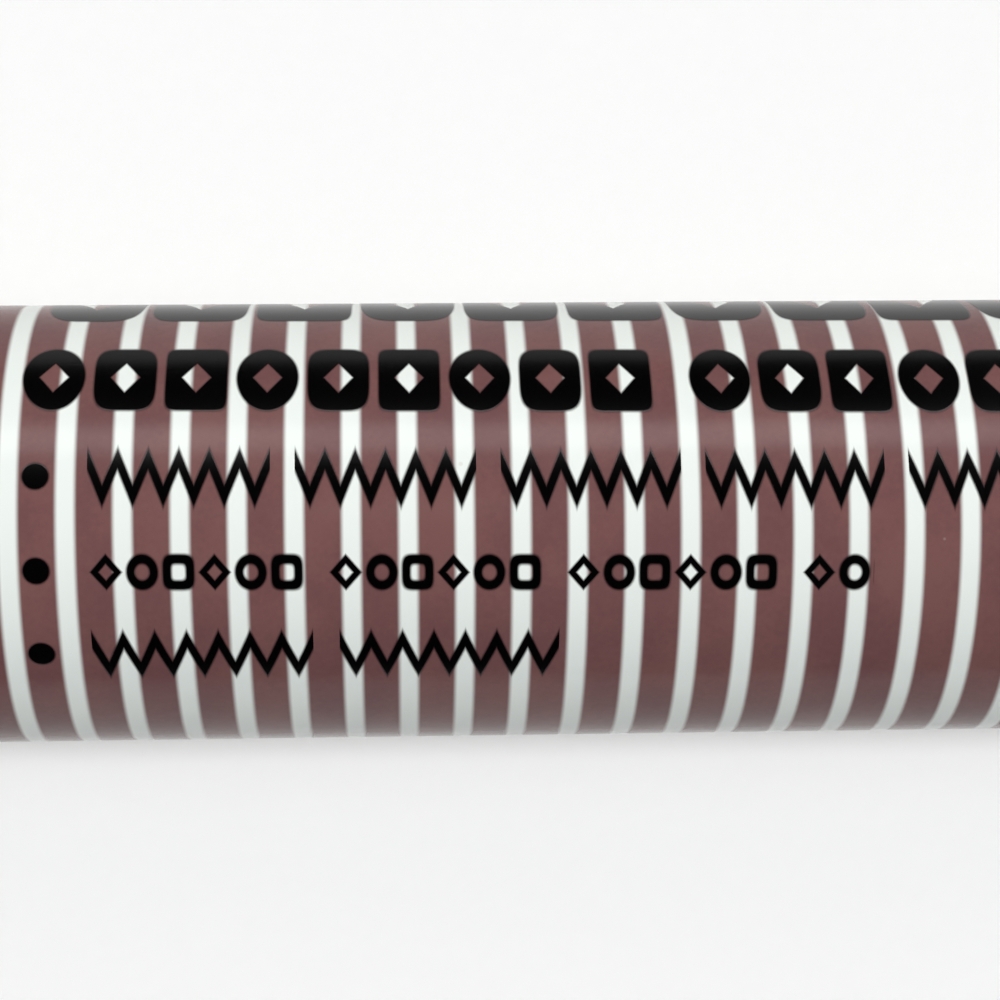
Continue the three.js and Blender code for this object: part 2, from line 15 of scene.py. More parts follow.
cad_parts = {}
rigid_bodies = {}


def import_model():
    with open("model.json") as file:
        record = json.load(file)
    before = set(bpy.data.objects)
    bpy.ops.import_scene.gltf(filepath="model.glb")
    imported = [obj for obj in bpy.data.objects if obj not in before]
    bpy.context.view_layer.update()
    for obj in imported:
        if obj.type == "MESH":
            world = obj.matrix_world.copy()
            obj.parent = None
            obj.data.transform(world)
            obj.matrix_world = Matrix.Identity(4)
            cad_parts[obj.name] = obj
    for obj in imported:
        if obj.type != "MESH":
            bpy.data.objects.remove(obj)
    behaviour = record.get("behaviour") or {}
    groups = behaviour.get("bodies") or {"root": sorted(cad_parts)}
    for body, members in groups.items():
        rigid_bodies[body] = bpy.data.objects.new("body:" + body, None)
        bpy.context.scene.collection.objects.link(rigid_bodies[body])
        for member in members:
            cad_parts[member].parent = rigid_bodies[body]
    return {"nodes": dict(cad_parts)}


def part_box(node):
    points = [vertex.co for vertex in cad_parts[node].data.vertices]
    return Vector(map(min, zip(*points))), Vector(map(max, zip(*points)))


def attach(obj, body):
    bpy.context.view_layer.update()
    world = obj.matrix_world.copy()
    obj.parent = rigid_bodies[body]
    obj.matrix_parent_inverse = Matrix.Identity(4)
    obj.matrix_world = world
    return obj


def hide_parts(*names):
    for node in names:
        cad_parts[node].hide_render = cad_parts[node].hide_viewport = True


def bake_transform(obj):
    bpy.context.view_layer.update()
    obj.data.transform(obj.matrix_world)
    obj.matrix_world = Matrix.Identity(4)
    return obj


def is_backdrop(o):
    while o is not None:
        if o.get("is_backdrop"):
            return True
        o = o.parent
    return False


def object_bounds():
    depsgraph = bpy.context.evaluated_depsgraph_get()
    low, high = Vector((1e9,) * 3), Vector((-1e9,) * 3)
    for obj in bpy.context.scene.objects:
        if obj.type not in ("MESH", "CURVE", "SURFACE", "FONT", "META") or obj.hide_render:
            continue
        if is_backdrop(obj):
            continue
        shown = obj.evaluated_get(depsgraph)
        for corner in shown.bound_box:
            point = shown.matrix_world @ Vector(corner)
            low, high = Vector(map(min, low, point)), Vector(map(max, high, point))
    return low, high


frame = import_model()
cad_low, cad_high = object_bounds()
print("nodes:", ", ".join(sorted(frame["nodes"])))

# %% [markdown]
# ## Sizes
#
# The marker lies along X. Its flat tail end is at zero and the cap points along minus X. A place along it is
# given as its distance from the tail, in millimetres, and a radius is measured from the axis. The main sizes
# are read from the frame, so that the smooth pieces fit it.

# %% Read the main sizes from the frame
MM = 0.001


def reach(node):
    """The largest radius of a node, in millimetres."""
    return max(math.hypot(v.co.y, v.co.z) for v in frame["nodes"][node].data.vertices) / MM


def span(node):
    """The distances of a node's two ends from the tail, in millimetres."""
    low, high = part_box(node)
    return -high.x / MM, -low.x / MM


BARREL_RADIUS = reach("barrel")
NIB_RADIUS = reach("nib")
barrel_start, barrel_end = span("barrel")
plug_start, plug_end = span("end_plug")
holder_start, holder_end = span("nib_holder")
nib_start, nib_end = span("nib")
cup_start, cup_end = span("inner_cap")
cap_start, cap_end = span("cap_shell")
clip_start = span("clip")[0]
print(f"barrel {barrel_end - barrel_start:.1f} mm long and {2 * BARREL_RADIUS:.1f} mm thick")

# %% [markdown]
# ## The barrel's tube
#
# Nearly every piece of a marker is round, as if turned on a lathe. A screw modifier or a spin could make it
# from a profile. Here a circle is extruded and resized from station to station, because later steps can
# then pick a ring of vertices by its place. A rounded corner is a short curve of stations.

# %% Draw the barrel's profile
CORNER_STEPS = 5
LARGEST_SHARE = 0.45
BARREL_WALL = 1.0
EDGE = 0.2


def rectangle(start, finish, low, high, *rounding):
    """A profile's corners (place, radius, rounding) at two places and two radii."""
    corners = (start, low), (start, high), (finish, high), (finish, low)
    return [(*corner, *rounding) for corner in corners]


def softened(corners, closed=False):
    """Stations (place, radius) of a profile, with each rounded corner as a curve."""
    stations = []
    count = len(corners)
    for i, (place, radius, *rounding) in enumerate(corners):
        corner = Vector((place, radius))
        at_end = not closed and i in (0, count - 1)
        if at_end or not rounding:
            stations.append(corner)
            continue
        before = Vector(corners[i - 1][:2]) - corner
        after = Vector(corners[(i + 1) % count][:2]) - corner
        size = min(rounding[0], LARGEST_SHARE * before.length, LARGEST_SHARE * after.length)
        start, finish = (corner + side.normalized() * size for side in (before, after))
        for step in range(CORNER_STEPS + 1):
            t = step / CORNER_STEPS
            stations.append(start * (1 - t) ** 2 + corner * 2 * t * (1 - t) + finish * t**2)
    return stations + stations[:1] if closed else stations


bore = BARREL_RADIUS - BARREL_WALL
barrel_profile = rectangle(barrel_start, barrel_end, bore, BARREL_RADIUS, EDGE)
print("the barrel's profile has", len(softened(barrel_profile, closed=True)), "stations")

# %% [markdown]
# An operator acts on all that is selected, and the frame comes with its nodes selected. So each step first
# deselects everything and then picks its own piece.

# %% Select, add and extrude
ACROSS = (0, math.pi / 2, 0)


def pick(piece, *others):
    """Select pieces and nothing else, and make the first one active."""
    bpy.ops.object.select_all(action="DESELECT")
    for each in (piece, *others):
        each.select_set(True)
    bpy.context.view_layer.objects.active = piece


def fresh(name, primitive, **how):
    """Add a named primitive, with its turn and place applied."""
    bpy.ops.object.select_all(action="DESELECT")
    primitive(**how)
    bpy.ops.object.transform_apply()
    bpy.context.object.name = name
    return bpy.context.object


def begin(piece, action="DESELECT"):
    """Go into edit mode on one piece, with nothing or all of it selected."""
    pick(piece)
    bpy.ops.object.mode_set(mode="EDIT")
    bpy.ops.mesh.select_all(action=action)


def end():
    """Leave edit mode."""
    bpy.ops.object.mode_set(mode="OBJECT")


def extrude(x, y, z):
    """Extrude what is selected by a move in millimetres."""
    bpy.ops.mesh.extrude_region_move(TRANSFORM_OT_translate={"value": (x * MM, y * MM, z * MM)})


selected = [each.name for each in bpy.context.scene.objects if each.select_get()]
print("the frame comes with", len(selected), "objects selected")

# %% Turn the barrel
TURNED_SIDES = 128
WELD = 0.002 * MM


def close_up(piece):
    """Weld a piece's doubles, fill its open ends and turn its faces outwards."""
    begin(piece, "SELECT")
    bpy.ops.mesh.remove_doubles(threshold=WELD)
    bpy.ops.mesh.fill_holes(sides=0)
    bpy.ops.mesh.select_all(action="SELECT")
    bpy.ops.mesh.normals_make_consistent(inside=False)
    end()
    return piece


def turned(name, corners, sides=TURNED_SIDES, closed=False):
    """A round piece: a circle, extruded and resized from station to station."""
    (place, radius), *rest = softened(corners, closed)
    circle = {"vertices": sides, "radius": radius * MM, "location": (-place * MM, 0, 0)}
    piece = fresh(name, bpy.ops.mesh.primitive_circle_add, rotation=ACROSS, **circle)
    begin(piece, "SELECT")
    for next_place, next_radius in rest:
        growth = next_radius / radius
        extrude(place - next_place, 0, 0)
        bpy.ops.transform.resize(value=(1, growth, growth), center_override=(-next_place * MM, 0, 0))
        place, radius = next_place, next_radius
    end()
    close_up(piece)
    print(name, "turned, with", len(piece.data.polygons), "faces")
    return piece


barrel = turned("barrel_tube", barrel_profile, closed=True)

# %% Smooth the barrel and check its fit
SHARP_ANGLE = 35
LARGE_FACE_WEIGHT = 90


def apply_modifiers(piece):
    """Apply a piece's modifiers in their order."""
    pick(piece)
    for modifier in list(piece.modifiers):
        bpy.ops.object.modifier_apply(modifier=modifier.name)


def smooth(piece, node, angle=SHARP_ANGLE):
    """Shade a piece smooth except over sharp edges, and print how near its box is to its node's."""
    pick(piece)
    bpy.ops.object.shade_smooth_by_angle(angle=math.radians(angle))
    weighted = piece.modifiers.new("flat large faces", "WEIGHTED_NORMAL")
    weighted.weight = LARGE_FACE_WEIGHT
    weighted.keep_sharp = True
    apply_modifiers(piece)
    corners = [v.co for v in piece.data.vertices]
    own = (*map(min, zip(*corners)), *map(max, zip(*corners)))
    low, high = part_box(node)
    gap = max(abs(a - b) for a, b in zip((*low, *high), own))
    print(f"{piece.name}: {len(corners)} vertices, box within {gap / MM:.2f} mm of {node}")


smooth(barrel, "barrel")

# %% [markdown]
# ## Moulded plastic
#
# A procedural material is a small program of nodes. Each sum in it takes a Math node, and a chain of them
# is hard to read. An Amount stands for a number or colour that varies over a surface. Adding or multiplying
# it places the Math node, so that a pattern reads like its formula.

# %% Sums made of nodes
SIGNS = {"add": "ADD", "sub": "SUBTRACT", "mul": "MULTIPLY", "truediv": "DIVIDE", "pow": "POWER"}
SIGNS |= {"mod": "MODULO", "gt": "GREATER_THAN", "lt": "LESS_THAN", "abs": "ABSOLUTE"}


class Amount:
    """What a node puts out: a number, colour or place that varies over a surface."""

    def __init__(self, socket):
        self.socket = socket
        self.tree = socket.id_data


def wire(node, inputs):
    """Set a node's inputs by name, each to a plain value or linked to an amount."""
    for label, value in inputs.items():
        if isinstance(value, Amount):
            value.tree.links.new(value.socket, node.inputs[label])
        else:
            node.inputs[label].default_value = value
    return node


def add(tree, kind, inputs=None, **properties):
    """Add a shader node with its properties and inputs."""
    node = tree.nodes.new("ShaderNode" + kind)
    for label, value in properties.items():
        setattr(node, label, value)
    return wire(node, inputs or {})


def maths(operation, *values):
    """The result of a Math node on amounts and plain numbers."""
    tree = next(value.tree for value in values if isinstance(value, Amount))
    return Amount(add(tree, "Math", dict(enumerate(values)), operation=operation).outputs[0])


for sign, operation in SIGNS.items():
    setattr(Amount, f"__{sign}__", lambda *values, operation=operation: maths(operation, *values))
print("amounts can be reckoned with", ", ".join(SIGNS))


# %% Steps, blends and noise
def between(value, low, high, start=0.0, finish=1.0):
    """A smooth step from start to finish as a value goes from low to high."""
    inputs = {"Value": value, "From Min": low, "From Max": high, "To Min": start, "To Max": finish}
    return Amount(add(value.tree, "MapRange", inputs, interpolation_type="SMOOTHSTEP").outputs[0])


def mixed(factor, first, second):
    """A blend of two colours."""
    inputs = {0: factor, 6: first, 7: second}
    return Amount(add(factor.tree, "Mix", inputs, data_type="RGBA").outputs[2])


def noise(place, scale, detail):
    """Soft cloudy noise from 0 to 1."""
    inputs = {"Vector": place, "Scale": scale, "Detail": detail}
    return Amount(add(place.tree, "TexNoise", inputs).outputs["Fac"])


def stretched(place, scale, turn=0.0):
    """A place that is turned and scaled, so that noise on it is stretched."""
    inputs = {"Vector": place, "Rotation": (turn, turn, turn), "Scale": scale}
    return Amount(add(place.tree, "Mapping", inputs).outputs[0])


def object_place(tree):
    """The place on the object, in metres."""
    return Amount(add(tree, "TexCoord").outputs["Object"])


def colour(red, green, blue):
    """A colour written as it shows on a screen, from 0 to 255, as a linear one."""
    parts = [c / 255 for c in (red, green, blue)]
    return (*[c / 12.92 if c <= 0.04045 else ((c + 0.055) / 1.055) ** 2.4 for c in parts], 1.0)


DUST = colour(214, 208, 200)
print("dust is", [round(c, 3) for c in DUST])

# %% [markdown]
# Up close, moulded plastic has a faint orange peel, hair-fine scratches from handling and a little dust.
# One node group makes the three for every plastic here, and each material sets how strong they are. Noise
# that is stretched along the marker and across it gives the scratches, as pockets rub it both ways.


# %% The skin of moulded plastic
def open_group(name, inputs):
    """A shader node group with number inputs, and the amounts that they bring in."""
    group = bpy.data.node_groups.new(name, "ShaderNodeTree")
    for label, default in inputs.items():
        socket = group.interface.new_socket(label, in_out="INPUT", socket_type="NodeSocketFloat")
        socket.default_value = default
    sockets = group.nodes.new("NodeGroupInput").outputs
    return group, {label: Amount(sockets[label]) for label in inputs}


def close_group(group, results):
    """Give a group its outputs, all numbers."""
    for label in results:
        group.interface.new_socket(label, in_out="OUTPUT", socket_type="NodeSocketFloat")
    wire(group.nodes.new("NodeGroupOutput"), results)
    print(group.name, "has", len(group.nodes), "nodes and gives", ", ".join(results))


# A cell of the Voronoi pattern is dusty when its number, from 0 to 1, is below this share.
DUSTY_CELLS = 0.03
inputs = {"Peel": 0.002, "Scratches": 0.002, "Gloss": 0.25, "Uneven": 0.08, "Dust": 0.5}
moulded_skin, given = open_group("moulded_skin", inputs)
place = object_place(moulded_skin)
height = noise(place, scale=1400.0, detail=2.0) * given["Peel"]
for turn, stretch in ((0.25, (2600, 260, 260)), (1.2, (240, 2400, 240))):
    hair = noise(stretched(place, stretch, turn), scale=1.0, detail=2.0)
    height = height - between(hair, low=0.66, high=0.72) * given["Scratches"]
swing = (noise(place, scale=120.0, detail=3.0) - 0.5) * given["Uneven"]
cells = add(moulded_skin, "TexVoronoi", {"Vector": place, "Scale": 700.0}).outputs
number = Amount(add(moulded_skin, "SeparateColor", {0: Amount(cells["Color"])}).outputs[0])
specks = (number < DUSTY_CELLS) * between(Amount(cells["Distance"]), low=0.06, high=0.03) * given["Dust"]
close_group(moulded_skin, {"Height": height, "Roughness": given["Gloss"] + swing, "Specks": specks})

# %% [markdown]
# ## The barrel's print
#
# The white tube's look is all print: mauve-brown bands with thin white rings left between them, and heavy
# black marks over both. They could be an image wrapped round the tube. They are worked out in the shader
# instead, from the distances along the barrel and round it, so the print stays sharp at any size and the
# mesh needs no UV map.

# %% Measure along the barrel and round it
PRINT_SLOPE = 0.011
PICTURE_MIDDLE = 61.73


def axes_of(place):
    """The three coordinates of a place."""
    return [Amount(socket) for socket in add(place.tree, "SeparateXYZ", {0: place}).outputs]


# Along is measured from the tail and Around from the top, both in millimetres.
on_barrel, given = open_group("on_barrel", {"Radius": 6.25, "Slope": 0.0, "Middle": 0.0})
x, y, z = axes_of(object_place(on_barrel))
along = x * (-1 / MM)
slant = (given["Middle"] - along) * given["Slope"]
around = maths("ARCTAN2", y, z) * given["Radius"] + slant
close_group(on_barrel, {"Along": along, "Around": around})

# %% Bands and rings
RING_PITCH = 1.5
RING_WIDTH = 0.5
FIRST_RING = 0.75

# Ring is 1 on the white rings and 0 on the bands between them.
inputs = {"Along": 0.0, "First": 0.0, "Pitch": RING_PITCH, "Width": RING_WIDTH, "Softness": 0.08}
ring_bands, given = open_group("ring_bands", inputs)
turns = (given["Along"] - given["First"]) / given["Pitch"]
away = abs(maths("FRACT", turns + 0.5) - 0.5) * given["Pitch"]
half = given["Width"] * 0.5
close_group(ring_bands, {"Ring": between(away, half + given["Softness"], half - given["Softness"])})

# %% [markdown]
# The black print has two kinds of row, both drawn in runs with gaps between them. A row of marks repeats a
# superellipse, whose exponent turns a diamond into a disc and then into a square, with a hole that has an
# exponent of its own. A zigzag row is one thin line that runs up and down.

# %% A row of marks
ROW = {"Along": 0.0, "Around": 0.0, "Start": 0.0, "Length": 10.0, "Height": 0.0}
ROW |= {"Run": 100.0, "Gap": 0.0, "Softness": 0.045}


def in_row(given):
    """How far a point is past the start of its run, and 1 where the row is drawn."""
    past = given["Start"] - given["Along"]
    run = past % (given["Run"] + given["Gap"])
    return run, (past > 0.0) * (past < given["Length"]) * (run < given["Run"])


# Shape 0 is a diamond, 1 a disc and 3 a square, and Change adds to it from mark to mark.
inputs = {"Pitch": 2.0, "Half Width": 0.9, "Half Height": 0.9, "Shape": 1.0, "Change": 0.0}
inputs |= {"Hollow": -1.0, "Hole Change": 0.0}
row_of_marks, given = open_group("row_of_marks", ROW | inputs)
run, inside = in_row(given)
cells = run / given["Pitch"]
turn = maths("FLOOR", cells) % 3.0
across = abs((maths("FRACT", cells) - 0.5) * given["Pitch"]) / given["Half Width"]
up = abs(given["Around"] - given["Height"]) / given["Half Height"]
sizes = []
for shape in (given["Shape"] + turn * given["Change"], turn * given["Hole Change"]):
    power = maths("POWER", 2.0, shape)
    sizes.append((up**power + across**power) ** maths("DIVIDE", 1.0, power))
past_edge = (sizes[0] - 1.0) * given["Half Width"]
past_hole = (sizes[1] - given["Hollow"]) * given["Half Width"]
soft, less = given["Softness"], given["Softness"] * -1.0
mark = between(past_edge, soft, less) * between(past_hole, less, soft) * inside
close_group(row_of_marks, {"Mark": mark})

# %% A zigzag row
zigzag_row, given = open_group("zigzag_row", ROW | {"Tall": 1.0, "Period": 1.0, "Stroke": 0.2})
run, inside = in_row(given)
wave = maths("FRACT", run / given["Period"])
line = (abs(wave - 0.5) - 0.25) * 2.0 * given["Tall"]
steep = given["Tall"] * 2.0 / given["Period"]
away = abs(given["Around"] - given["Height"] - line) * maths("COSINE", maths("ARCTANGENT", steep))
half = given["Stroke"] * 0.5
mark = between(away, half + given["Softness"], half - given["Softness"]) * inside
close_group(zigzag_row, {"Mark": mark})

# %% [markdown]
# On the real barrel the print starts near the cap and reads towards the tail. The top line is the largest
# and only its lower edge shows from above. Under it come a bold line and three finer ones, each after a
# round dot. Here plain shapes stand for the words.

# %% Lay out the rows
PRINT_LEFT = PICTURE_MIDDLE + 9.95
FINE_START = PICTURE_MIDDLE + 8.1

TOP_ROW = {"Start": PRINT_LEFT - 0.2, "Length": 46.4, "Height": 9.15, "Pitch": 2.9, "Half Width": 1.33}
TOP_ROW |= {"Half Height": 2.4, "Shape": 2.0, "Change": 0.6, "Hollow": 0.55}
BOLD_ROW = {"Start": PRINT_LEFT + 0.1, "Length": 45.32, "Height": 4.12, "Run": 17.1, "Gap": 0.8}
BOLD_ROW |= {"Pitch": 1.9, "Half Width": 0.84, "Half Height": 1.12, "Change": 1.0, "Hollow": 0.45}
ZIGZAG = {"Start": FINE_START, "Period": 0.8, "Stroke": 0.25, "Run": 4.8, "Gap": 0.65}
SHORT_ZIGZAG = ZIGZAG | {"Height": -3.85, "Length": 12.5, "Period": 0.84, "Run": 5.88, "Gap": 0.7}
FINE_MARKS = {"Start": FINE_START, "Length": 20.85, "Height": -1.4, "Run": 5.7, "Gap": 0.6, "Pitch": 0.95}
FINE_MARKS |= {"Half Width": 0.43, "Half Height": 0.5, "Shape": 0.0, "Change": 1.0, "Hollow": 0.42}
DOT = {"Start": PRINT_LEFT - 0.1, "Length": 0.8, "Pitch": 0.8, "Half Width": 0.37, "Half Height": 0.37}
ROWS = [
    (row_of_marks, TOP_ROW),
    (row_of_marks, BOLD_ROW),
    (zigzag_row, ZIGZAG | {"Height": 1.12, "Length": 32.0}),
    (row_of_marks, FINE_MARKS | {"Hole Change": 1.0}),
    (zigzag_row, SHORT_ZIGZAG),
    *((row_of_marks, DOT | {"Height": height}) for height in (1.14, -1.37, -3.8)),
]
print(len(ROWS), "rows, printed from", round(PRINT_LEFT, 1), "mm from the tail")

# %% [markdown]
# The material places these groups and blends its colours by what they put out. The ink is a thin film on
# the plastic, so the height that makes the bump steps up where mauve begins, and again where black does.

# %% The barrel's material
WHITE_PLASTIC = colour(243, 246, 243)
MAUVE = colour(125, 86, 84)
DEEP_MAUVE = colour(114, 76, 78)
BLACK_INK = colour(3, 2, 3)
INK_FILM = 0.006


def open_material(name):
    """A material, its Principled shader and the place on the object."""
    material = bpy.data.materials.new(name)
    material.use_nodes = True
    tree = material.node_tree
    return material, tree.nodes["Principled BSDF"], object_place(tree)


def use(tree, group, inputs):
    """What a group puts out when it is placed in a material with its own values."""
    outputs = add(tree, "Group", inputs, node_tree=group).outputs
    return {socket.name: Amount(socket) for socket in outputs}


def bump(height):
    """A normal from a height in millimetres."""
    return Amount(add(height.tree, "Bump", {"Height": height, "Distance": MM}).outputs["Normal"])


printed_barrel, shader, place = open_material("printed_barrel")
inputs = {"Radius": BARREL_RADIUS, "Slope": PRINT_SLOPE, "Middle": PICTURE_MIDDLE}
here = use(place.tree, on_barrel, inputs)
inputs = {"Along": here["Along"], "First": barrel_start + FIRST_RING}
ring = use(place.tree, ring_bands, inputs)["Ring"]
black, *marks = (use(place.tree, kind, here | row)["Mark"] for kind, row in ROWS)
for mark in marks:
    black = maths("MAXIMUM", black, mark)
fine_mottle = noise(place, scale=6000.0, detail=2.0) * 0.35
mottle = between(fine_mottle + noise(place, scale=420.0, detail=4.0), low=0.45, high=0.9)
banded = mixed(ring, mixed(mottle, MAUVE, DEEP_MAUVE), WHITE_PLASTIC)
inputs = {"Peel": 0.0012, "Scratches": 0.001, "Gloss": 0.2, "Uneven": 0.06, "Dust": 0.35}
skin = use(place.tree, moulded_skin, inputs)
inked = maths("MAXIMUM", maths("SUBTRACT", 1.0, ring), black * 2.0)
wire(shader, {
    "Base Color": mixed(skin["Specks"], mixed(black, banded, BLACK_INK), DUST),
    "Roughness": skin["Roughness"],
    "Normal": bump(skin["Height"] + inked * INK_FILM),
    "Specular IOR Level": 0.18,
})
print(printed_barrel.name, "has", len(place.tree.nodes), "nodes")


# %% Print the barrel
def finish_with(piece, material, slot):
    """Give a piece its material and print the name of its slot."""
    piece.data.materials.clear()
    piece.data.materials.append(material)
    print(piece.name, "is made of", slot)


finish_with(barrel, printed_barrel, "printed_barrel")
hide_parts("barrel")
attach(barrel, "barrel_body")

# %% [markdown]
# ## The end plug
#
# The plug is one moulding: a post that the cap can be pushed onto, a flange that meets the barrel, and a
# skirt with a snap bead inside it. It is turned from its profile, hollow as the real one is. A shallow gate
# mark in the middle of the end face is where the plastic entered the mould.

# %% Turn the end plug
POST_LENGTH = 8.0
POST_EDGE = 0.9
POST_BEAD_PLACE = 2.4
PLUG_SEAM = 0.05
PLUG_END_WALL = 1.2
CHAMBER_RADIUS = 3.9
SKIRT_RADIUS = 5.2
SOCKET_RADIUS = 4.55
SOCKET_DEPTH = 3.5
NECK_RADIUS = 5.05
BEAD_HEIGHT = 0.12
BEAD_WIDTH = 0.9
SNAP_WIDTH = 0.8
SNAP_FROM_MOUTH = 3.5
GATE_RADIUS = 0.9
GATE_DEPTH = 0.15


def bead(centre, radius, width, height=BEAD_HEIGHT):
    """A low rounded ridge, as corners of a profile towards the nib."""
    shape = (-1 / 2, 0), (-1 / 4, height), (1 / 4, height), (1 / 2, 0)
    return [(centre + width * share, radius + rise, height) for share, rise in shape]


flange_end = barrel_start - PLUG_SEAM
socket_end = plug_end - SOCKET_DEPTH
plug_profile = [
    (plug_start + GATE_DEPTH, GATE_RADIUS),
    (plug_start, GATE_RADIUS + GATE_DEPTH, GATE_DEPTH),
    (plug_start, NECK_RADIUS, POST_EDGE),
    *bead(plug_start + POST_BEAD_PLACE, NECK_RADIUS, BEAD_WIDTH),
    (POST_LENGTH, NECK_RADIUS, EDGE),
    (POST_LENGTH, BARREL_RADIUS, EDGE),
    (flange_end, BARREL_RADIUS, EDGE),
    (flange_end, SKIRT_RADIUS),
    *bead(barrel_start + SNAP_FROM_MOUTH, SKIRT_RADIUS, SNAP_WIDTH),
    (plug_end, SKIRT_RADIUS, EDGE),
    (plug_end, SOCKET_RADIUS),
    (socket_end, SOCKET_RADIUS),
    (socket_end, CHAMBER_RADIUS),
    (PLUG_END_WALL, CHAMBER_RADIUS, EDGE),
    (PLUG_END_WALL, GATE_RADIUS),
]
end_plug = turned("tail_plug", plug_profile)

# %% [markdown]
# Crossed fins inside the plug stop the reservoir from sliding back. One fin is a flat face in the plane of
# the axis, drawn by extruding a vertex from corner to corner, and then given its thickness. It is copied
# round the axis and joined to the plug.

# %% Draw a fin
FIN_THICKNESS = 0.8
FIN_SUNK = 0.1


def sheet_of(name, corners):
    """A flat face in the XZ plane with corners (place, radius)."""
    (place, radius), *rest = corners
    at = (-place * MM, 0, radius * MM)
    piece = fresh(name, bpy.ops.mesh.primitive_plane_add, size=MM, location=at)
    begin(piece, "SELECT")
    bpy.ops.mesh.merge(type="CENTER")
    for next_place, next_radius in rest:
        extrude(place - next_place, 0, next_radius - radius)
        place, radius = next_place, next_radius
    bpy.ops.mesh.select_all(action="SELECT")
    bpy.ops.mesh.edge_face_add()
    end()
    return piece


def radial_plate(name, corners, thickness):
    """A plate of the given thickness that stands on the top side, in the plane of the axis."""
    piece = sheet_of(name, corners)
    begin(piece, "SELECT")
    bpy.ops.transform.translate(value=(0, -thickness / 2 * MM, 0))
    extrude(0, thickness, 0)
    end()
    return close_up(piece)


fin_corners = rectangle(PLUG_END_WALL - FIN_SUNK, socket_end, 0, CHAMBER_RADIUS + FIN_SUNK)
fin = radial_plate("plug_fin", fin_corners, FIN_THICKNESS)
print(fin.name, "has", len(fin.data.polygons), "faces")

# %% Copy the fin and join the copies to the plug
FINS = 4


def turn_about_axis(piece, degrees):
    """Turn a piece's mesh about the marker's axis; positive goes from +Y towards +Z."""
    piece.data.transform(Matrix.Rotation(math.radians(degrees), 4, "X"))
    return piece


def spread(piece, count, first=0.0):
    """A piece and its copies, spread evenly about the axis."""
    copies = [piece]
    for _ in range(1, count):
        copies.append(piece.copy())
        copies[-1].data = piece.data.copy()
        bpy.context.scene.collection.objects.link(copies[-1])
    return [turn_about_axis(copy, first + 360 * i / count) for i, copy in enumerate(copies)]


pick(end_plug, *spread(fin, FINS))
bpy.ops.object.join()
smooth(end_plug, "end_plug")

# %% [markdown]
# The plug and the cap are moulded in one colour, deeper than the barrel's bands. A mould in two halves
# leaves a hair-fine parting line along both sides. It is too small to model, so the material draws it as a
# ridge a hundredth of a millimetre high.

# %% The cap's plastic
CAP_TONES = colour(92, 55, 55), colour(80, 45, 46)
PARTING_WIDTH = 0.05
PARTING_HEIGHT = 0.012
PARTING_FROM = 4.6
PARTING_FULL = 4.9


def moulded_plastic(name, tones, gloss, peel=0.002, dust=0.5, extra_height=None):
    """A moulded plastic whose colour drifts a little between two tones."""
    material, shader, place = open_material(name)
    inputs = {"Peel": peel, "Scratches": 0.0015, "Gloss": gloss, "Dust": dust}
    skin = use(place.tree, moulded_skin, inputs)
    drift = noise(stretched(place, (60, 220, 220)), scale=1.0, detail=3.0)
    tone = mixed(between(drift, low=0.35, high=0.65), *tones)
    height = skin["Height"]
    if extra_height:
        height = height + extra_height(place)
    look = {"Base Color": mixed(skin["Specks"], tone, DUST), "Roughness": skin["Roughness"]}
    wire(shader, look | {"Normal": bump(height)})
    return material


def parting_line(place):
    """A low ridge along the two sides of a moulding, but not across its ends."""
    _, y, z = axes_of(place)
    ridge = between(abs(z), low=PARTING_WIDTH * MM, high=0.0, finish=PARTING_HEIGHT)
    return ridge * between(abs(y), PARTING_FROM * MM, PARTING_FULL * MM)


cap_plastic = moulded_plastic("cap_plastic", CAP_TONES, gloss=0.24, extra_height=parting_line)
finish_with(end_plug, cap_plastic, "cap_plastic")
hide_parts("end_plug")
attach(end_plug, "barrel_body")

# %% [markdown]
# ## The nib holder
#
# The holder is the most worked piece: a skirt in the barrel, a collar flush with it, a neck with the bead
# that the cap clicks over, a land that the inner cap seals on, and a tapering nose. It is turned as one
# closed profile, because the nib's bore goes right through.

# %% Turn the nib holder
COLLAR_LENGTH = 2.0
COLLAR_SEAM = 0.05
NECK_LENGTH = 10.0
NECK_CHAMFER = 0.4
HOLDER_WALL = 1.15
BEAD_FROM_COLLAR = 4.0
SEAL_RADIUS = 3.75
SEAL_LENGTH = 4.5
NOSE_STEP = 0.55
NOSE_RADIUS = 2.3
NOSE_EDGE = 0.5
NIB_BORE = NIB_RADIUS + 0.05
SHOULDER_DEPTH = 1.0

